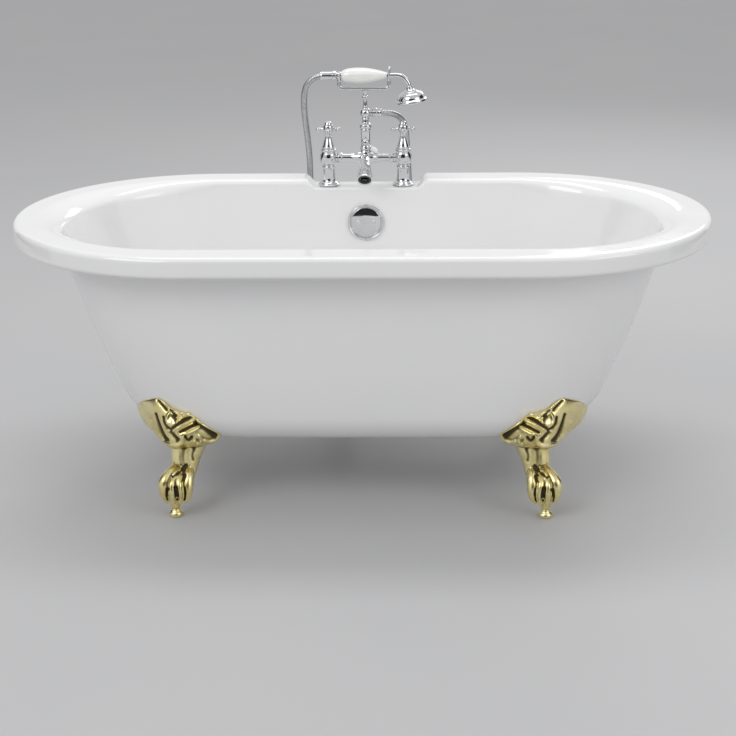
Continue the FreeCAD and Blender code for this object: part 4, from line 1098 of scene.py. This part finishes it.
# %% The spout
spout_line = flow([
    (15, 66.5, 12), (36, 65, 11.6), (61, 57.5, 13.2), (82, 45.5, 16.4), (95, 36, 19.0),
    (97.4, 34.2, 19.4),
], 10)
spout_path = np.stack([0 * spout_line[:, 0], TAP_Y - spout_line[:, 0], LEDGE + spout_line[:, 1]], 1)
SPOUT_WALL = 4.0
outside, inside = (
    tube(spout_path, spout_line[:, 2:] - inset, 56, (1, 0, 0), capped=False)
    for inset in (0.0, SPOUT_WALL)
)
lip = (outside[-1:] + inside[-1:]) / 2 + (spout_path[-1] - spout_path[-2])
spout_grid = np.concatenate([outside, lip, inside[::-1]])
chromed("mixer_spout", [patch(spout_grid, wrap_rows=True, wrap_cols=True)], "spout", crease=60)

# %% The column and the diverter
column = turned(
    [(0, 86.2), (12.2, 86.2, 0.5), (14.3, 88.6, 1.4), (14.3, 91.6, 1.4), (12.2, 94, 0.8),
     (11.4, 96.2, 1.2), (11.2, 116, 8), (11.5, 132, 1), (13.2, 133.4, 0.8), (13.2, 135, 0.8),
     (12.4, 136.4, 0.6), (14.4, 139, 1.4), (14.4, 145.6, 1.6), (12, 148.4, 0.8),
     (9.4, 150.2, 0.8), (7.7, 152.6, 1), (7.5, 157.8, 0.3), (0, 158)],
    ledge(),
)
boss = turned([(0, 0), (8.4, 0), (8.2, 14.6, 0.5), (0, 15)], ledge(0, 0, LEVER), (0, -1, 0), 40)
chromed("mixer_column", [column, boss], "riser_column")
gland = turned(
    [(0, 0), (9.4, 0, 0.4), (9.7, 2.8, 0.7), (8.2, 4.2, 0.6), (6.4, 6.8, 1.2), (0, 7)],
    ledge(0, -15.2, LEVER), (0, -1, 0), 40,
)
chromed("mixer_diverter_gland", [gland], "diverter_bonnet")
REST = math.radians(52)  # the lever's turn away from straight down
down_right = (math.sin(REST), 0, -math.cos(REST))
stem, knuckle = ledge(0, -22.5, LEVER), ledge(0, -25.5, LEVER)
lever_patches = [
    turned([(0, 0), (3, 0), (3, 16, 0.3), (0, 16)], stem, (0, 1, 0), 24),
    turned(
        [(0, 0), (6, 0, 0.5), (6.1, 4.2, 1), (4.6, 6.6, 1.5), (0, 7.4)],
        stem, (0, -1, 0), 36,
    ),
    turned(
        [(0, 0), (2.9, 1, 1), (2.3, 13, 2), (3.6, 15.2, 0.6), (3.5, 17.5, 0.3), (0, 17.5)],
        knuckle, down_right, 30,
    ),
]
chromed("mixer_diverter_lever", lever_patches, "diverter_lever", "diverter")
grip_profile = flow([
    (0, 17.7), (3.4, 17.8), (5, 21), (5.6, 26), (5.2, 31), (3.6, 35.4), (0, 37.1),
], 6)
lever_grip = lathe(np.clip(grip_profile, 0, None), knuckle, down_right, 36)
piece(
    "mixer_diverter_grip", [lever_grip],
    "diverter", ceramic, ["diverter_grip"], crease=60,
)

# %% The hub and the cradle's post
HUB_BALL, HUB_NECK = 13.2, 8
neck_angle = math.asin(HUB_NECK / HUB_BALL)
hub_profile = np.concatenate([
    rounded([(0, 158.2, 0), (9, 158.2, 0.4), (9.3, 160.4, 0.8), (8.2, 162.4, 0.5), (8, 163.4, 0)]),
    ball_arc(HUB_BALL, HUB, neck_angle, math.pi - neck_angle, 24),
    rounded([(8, 184.6, 0), (6.6, 186.8, 0.5), (0, 187, 0)]),
])
outlet = turned(
    [(0, 0), (8.3, 0), (8.3, 12.4, 0.3), (9.2, 13, 0.3), (9.2, 16.8, 0.5), (7, 17.5),
     (7, 23.5, 0.5), (0, 23.5)],
    ledge(0, 0, HUB), (1, 0, 0), 40,
)
chromed("mixer_hub", [lathe(hub_profile, ledge()), outlet], "shower_hub")
post = turned(
    [(0, 187.2), (6.5, 187.2, 0.4), (6.4, 188.8, 0.5), (5, 190.6, 1.4), (4.5, 200, 4),
     (4.8, 206.4, 0.8), (7, 208, 1.2), (7.7, 211, 1.6), (7, 214, 1.2), (4.8, 215.6, 0.8),
     (5, 222, 3), (6.2, 225, 1), (6.4, 228, 0.6), (0, 228.2)],
    ledge(), around=40,
)
chromed("mixer_post", [post], "cradle_post")

# %% [markdown]
# ## Cradle and handset
# The cradle is a bent bar with a small two-tined fork at each end. The handset's ceramic grip
# is fattest towards the hose, a chrome ferrule and nut hold the hose on the left, and a swan
# neck bends down on the right to a bell-shaped rose.

# %% The cradle
LEFT, RIGHT, TINE = -61.0, 57.0, 2.8
bar_corners = [
    (*ledge(LEFT, 0, 249.6), 0), (*ledge(LEFT, 0, CRADLE), 13), (*ledge(RIGHT, 0, CRADLE), 13),
    (*ledge(RIGHT, 0, 251.3), 0),
]
cradle = [bar(rounded(bar_corners, 16), 4.4)]
for x, seat, reach, low in ((LEFT, 7.5, 4.0, 249.4), (RIGHT, 5.8, 16.0, 251.1)):
    wide = seat + PLAY + TINE
    round_under = np.linspace(np.pi, 2 * np.pi, 24)
    sideways = np.concatenate([[-wide], wide * np.cos(round_under), [wide]])
    rise = np.concatenate([[reach], wide * np.sin(round_under), [reach]])
    tines = np.stack([0 * sideways + x, TAP_Y + sideways, LEDGE + GRIP + rise], 1)
    cradle.append(bar(tines, TINE, 20, (1, 0, 0)))
    cradle += [ball(ledge(x, side * wide, GRIP + reach), 3.6) for side in (-1, 1)]
    cradle.append(ball(ledge(x, 0, low), 5.0))
chromed("mixer_cradle", cradle, "cradle_fork", crease=60)

# %% The handset's grip, ferrule and neck
grip_line = flow([
    (9.4, -55), (13.2, -49.5), (16.2, -40), (17.9, -26), (18.2, -13), (17.4, 3), (14.8, 20),
    (11, 36), (8.2, 46), (7.2, 51),
], 6)
grip_line = np.concatenate([[(0, -55)], grip_line, [(0, 51)]])
piece(
    "handset_grip", [lathe(grip_line, ledge(0, 0, GRIP), (1, 0, 0), 72)],
    "handset", ceramic, ["handset_handle"], crease=60,
)
ferrule = turned(
    [(0, -55.2), (9.6, -55.2, 0.3), (9.9, -56.6, 0.5), (9, -57.8, 0.4), (7.6, -58.6, 0.5),
     (7.5, -65.8, 0.5), (8.4, -67, 0.2), (7, -67.1), (7, -73), (0, -73)],
    ledge(0, 0, GRIP), (1, 0, 0), 48,
)
chromed("handset_collar", [ferrule], "handset_ferrule", "handset")
BEND, SWING, STRAIGHT, NECK_FROM = 33.0, math.radians(81), 72.0, 51.2
swing = np.linspace(0, SWING, 30)
neck_x = np.concatenate([[NECK_FROM, 60], STRAIGHT + BEND * np.sin(swing)])
neck_z = np.concatenate([[GRIP, GRIP], GRIP - BEND * (1 - np.cos(swing))])
neck_path = np.stack([neck_x, 0 * neck_x + TAP_Y, neck_z + LEDGE], 1)
rose_foot = tuple(neck_path[-1])
rose_axis = (math.cos(SWING), 0, -math.sin(SWING))
neck = [
    bar(neck_path, 5.8, 32),
    turned(
        [(0, 0), (7.3, 0, 0.3), (7.5, 1.4, 0.5), (6, 2.6, 0.4), (0, 2.7)],
        ledge(NECK_FROM, 0, GRIP), (1, 0, 0), 36,
    ),
    turned(
        [(0, -4), (6.8, -3.4, 0.5), (8, -1.4, 0.7), (7.8, 0, 0.3), (0, 0)],
        rose_foot, rose_axis, 36,
    ),
]
chromed("handset_swan_neck", neck, "handset_neck", "handset")

# %% The rose and the hose nuts
bell = turned(
    [(0, 0.2), (7.8, 0.2, 0.2), (8.2, 3.4, 1.6), (11, 7, 3), (17.5, 9.2, 3), (18.2, 10.4, 0.4),
     (19.6, 10.6, 0.5), (27.5, 14, 6), (32.2, 21, 5), (33.6, 27.4, 1.5), (35, 28.4, 0.5),
     (37.4, 30.4, 1.4), (37.4, 34.4, 1.2), (35.8, 36, 0.6), (34, 36, 0.4), (34, 29), (22, 13, 4),
     (0, 10)],
    rose_foot, rose_axis, 84,
)
chromed("handset_rose", [bell], "rose_bell", "handset")


def nut(out, foot, axis):
    """A union nut: a grooved grip ring, a sleeve and the bore for the hose."""
    return turned(
        [(7.3, 0), (11.4, 0, 0.3), (12, 1, 0.5), (12, 3.8, 0.3), (11.3, 4.4, 0.3), (12, 5, 0.3),
         (12, 8.2, 0.5), (10.6, 9.8, 0.6), (10.4, out - 7, 2), (11, out - 4.4, 0.6),
         (10.2, out - 0.2, 0.5), (8.7, out, 0.2), (8.1, out - 6), (8.1, 7), (7.3, 7), (7.3, 0.01)],
        foot, axis, 44, hollow=True,
    )


chromed("hose_nut_by_hub", [nut(21.0, ledge(17.8, 0, HUB), (1, 0, 0))], "hose_nut_lower")
chromed(
    "hose_nut_by_grip", [nut(37.0, ledge(-67.2, 0, GRIP), (-1, 0, 0))], "hose_nut_upper", "handset",
)

# %% [markdown]
# ## Overflow
# The overflow's plate has a rolled edge, a dark groove and a domed middle held by two screws.
# It stands square to the wall, which leans by the slope of the bath's side at that height.

# %% The overflow's plate and screws
OVERFLOW_Z, SCREW_X = 508.0, 18.0
tilt = math.atan(LEAN[1] + 2 * BOW[1] * (RIM_LOW - OVERFLOW_Z))
out_of_wall = (0, -math.cos(tilt), math.sin(tilt))
plate_foot = np.array((0, wall(OVERFLOW_Z, INNER)[1], OVERFLOW_Z)) + PLAY * np.array(out_of_wall)
plate = turned(
    [(0, 2), (36, 2), (38.5, 0.1), (42.8, 0.1, 0.4), (43.5, 2.6, 1.2), (42.9, 6, 1.8),
     (40.6, 7, 1.2), (38.6, 5.6, 0.8), (37.6, 3.0, 0.4), (36.4, 3.0, 0.4), (35.2, 4.8, 0.8),
     (22, 7, 10), (8, 8, 6), (0, 8)],
    plate_foot, out_of_wall, 96,
)
chromed("overflow_face", [plate], "overflow_plate")
screws = []
for side in (-1, 1):
    foot = plate_foot + (side * SCREW_X, 0, 0)
    screws.append(turned(
        [(0, -6), (2.4, -6), (2.4, 7.4), (4.4, 7.4, 0.3), (4.6, 8.2, 0.4), (3, 9.8, 1.2), (0, 10)],
        foot, out_of_wall, 30,
    ))
chromed("overflow_screw_heads", screws, "overflow_screws")
# %% [markdown]
# ## Glides
# Each foot stands on a turned bun with a rolled edge and a threaded stem. The thread is a fine
# saw-tooth in the profile.

# %% The levelling glides
bun = rounded([
    (0, 0, 0), (12.5, 0, 1.5), (15.2, 2.4, 2), (15.4, 5.4, 2), (14.2, 9.5, 3), (10.6, 13.2, 2.5),
    (9.0, 15.5, 1), (9.0, 18.5, 1), (7.2, 19.4, 0.3), (5.9, 20, 0),
])
pitch = np.arange(20.5, 52, 0.875)
thread = np.stack([np.where(np.arange(len(pitch)) % 2, 5.3, 5.9), pitch], 1)
glide = np.concatenate([bun, thread, [(4.6, 55.5), (0, 55.5)]])
for name, side_x, side_y in CORNERS:
    piece(
        "bun_" + name, [lathe(glide, GLIDE * (side_x, side_y, 1))],
        "glide_" + name, glide_gold, ["leveller_" + name],
    )

# %% [markdown]
# ## Finishes for the parts that the CAD already shaped well
# Fasteners, seals, tubes and the spindles were turned or cut in reality too, and their CAD
# surfaces are right. They only take a finish.

# %% CAD parts and their finishes
FINISHES = [
    (flakes, ["base_board"]),
    (zinc, ["ledge_backing_plate", "foot_bolts", "foot_washers", "board_inserts", "back_nuts"]),
    (glide_gold, ["leveller_locknuts"]),
    (rubber, ["overflow_gasket", "waste_gasket", "deck_seals"]),
    (chrome, [
        "overflow_elbow", "overflow_pipe", "waste_flange", "waste_shoe", "waste_pipe",
        "waste_tee", "waste_tailpiece", "slip_nuts", "stopper", "spindle_left",
        "spindle_right", "tap_tails", "spray_plate",
    ]),
    # the spout's outlet takes painted shade, near black
    (bore_painted_shade, ["spout_outlet"]),
]
for finish, names in FINISHES:
    for name in names:
        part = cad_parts[name]
        if not part.material_slots:
            part.data.materials.append(finish)
        for place in part.material_slots:
            place.material = finish
finished = {name for _, names in FINISHES for name in names}
left = sorted(
    name for name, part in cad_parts.items()
    if not part.hide_render and name not in finished
)
print("CAD parts with no finish:", left)

# %% [markdown]
# ## Floor and light
# A white bath on a pale floor needs a floor that is a little darker than it is, so that its
# edge reads. An even sky gives most of the light, so that the floor stays level in tone to its
# far end. A large soft lamp to the left, a weaker one to the right and a strip over the taps
# shape the bath. Dark cards that only reflections show, one behind the camera and one on each
# side, draw the dark lines that make polished metal look like metal.

# %% Floor, world and lamps
def plain(name, points):
    mesh = bpy.data.meshes.new(name)
    mesh.from_pydata(points, [], [tuple(range(len(points)))])
    return shown(name, mesh)


FAR = 40.0
PALE, PALE_SHADE = (0.52, 0.52, 0.525), (0.508, 0.51, 0.515)
FELT, FELT_SHADE = (0.02, 0.02, 0.022), (0.03, 0.03, 0.032)
floor = plain("floor", [(-FAR, -FAR, 0), (FAR, -FAR, 0), (FAR, FAR, 0), (-FAR, FAR, 0)])
ground = Board("pale_floor", PALE, Roughness=0.7)
speck = ground.noise(ground.place(), 1.2)
floor.data.materials.append(
    ground.done(Base_Color=ground.mix(speck.between(0.3, 0.7), PALE, PALE_SHADE))
)
dark = Board("dark_card", FELT, Roughness=0.9)
felt = dark.done(Base_Color=dark.mix(dark.noise(dark.place(), 30.0), FELT, FELT_SHADE))
front = [(-3.0, -5.6, 0.1), (3.0, -5.6, 0.1), (3.0, -6.2, 4.0), (-3.0, -6.2, 4.0)]
cards = [plain("card_front", front)]
for name, x in (("card_left", -2.5), ("card_right", 2.5)):
    cards.append(plain(name, [(x, -0.2, 0.05), (x, 1.7, 0.05), (x, 1.7, 2.6), (x, -0.2, 2.6)]))
for card in cards:
    card.data.materials.append(felt)
    card.visible_camera = card.visible_shadow = card.visible_diffuse = False

world = bpy.data.worlds.new("studio")
world.use_nodes = True
bpy.context.scene.world = world
sky = world.node_tree.nodes["Background"].inputs
sky["Color"].default_value = (0.5, 0.5, 0.505, 1)
sky["Strength"].default_value = 1.35


def lamp(name, place, target, size, power):
    light = bpy.data.lights.new(name, "AREA")
    light.shape = "RECTANGLE"
    light.size, light.size_y = size
    light.energy = power
    aim = (Vector(target) - Vector(place)).to_track_quat("-Z", "Y")
    shown(name, light).matrix_world = Matrix.LocRotScale(Vector(place), aim, None)


lamp("key", (-2.6, -3.0, 3.4), (0, 0, 0.35), (2.4, 1.8), 46)
lamp("fill", (3.2, -2.4, 2.2), (0, 0, 0.35), (1.8, 1.8), 20)
lamp("top", (0.0, 0.6, 3.6), (0, 0.1, 0.5), (2.8, 0.8), 30)
lamp("behind", (1.4, 3.4, 2.4), (0, 0, 0.4), (1.6, 1.2), 22)
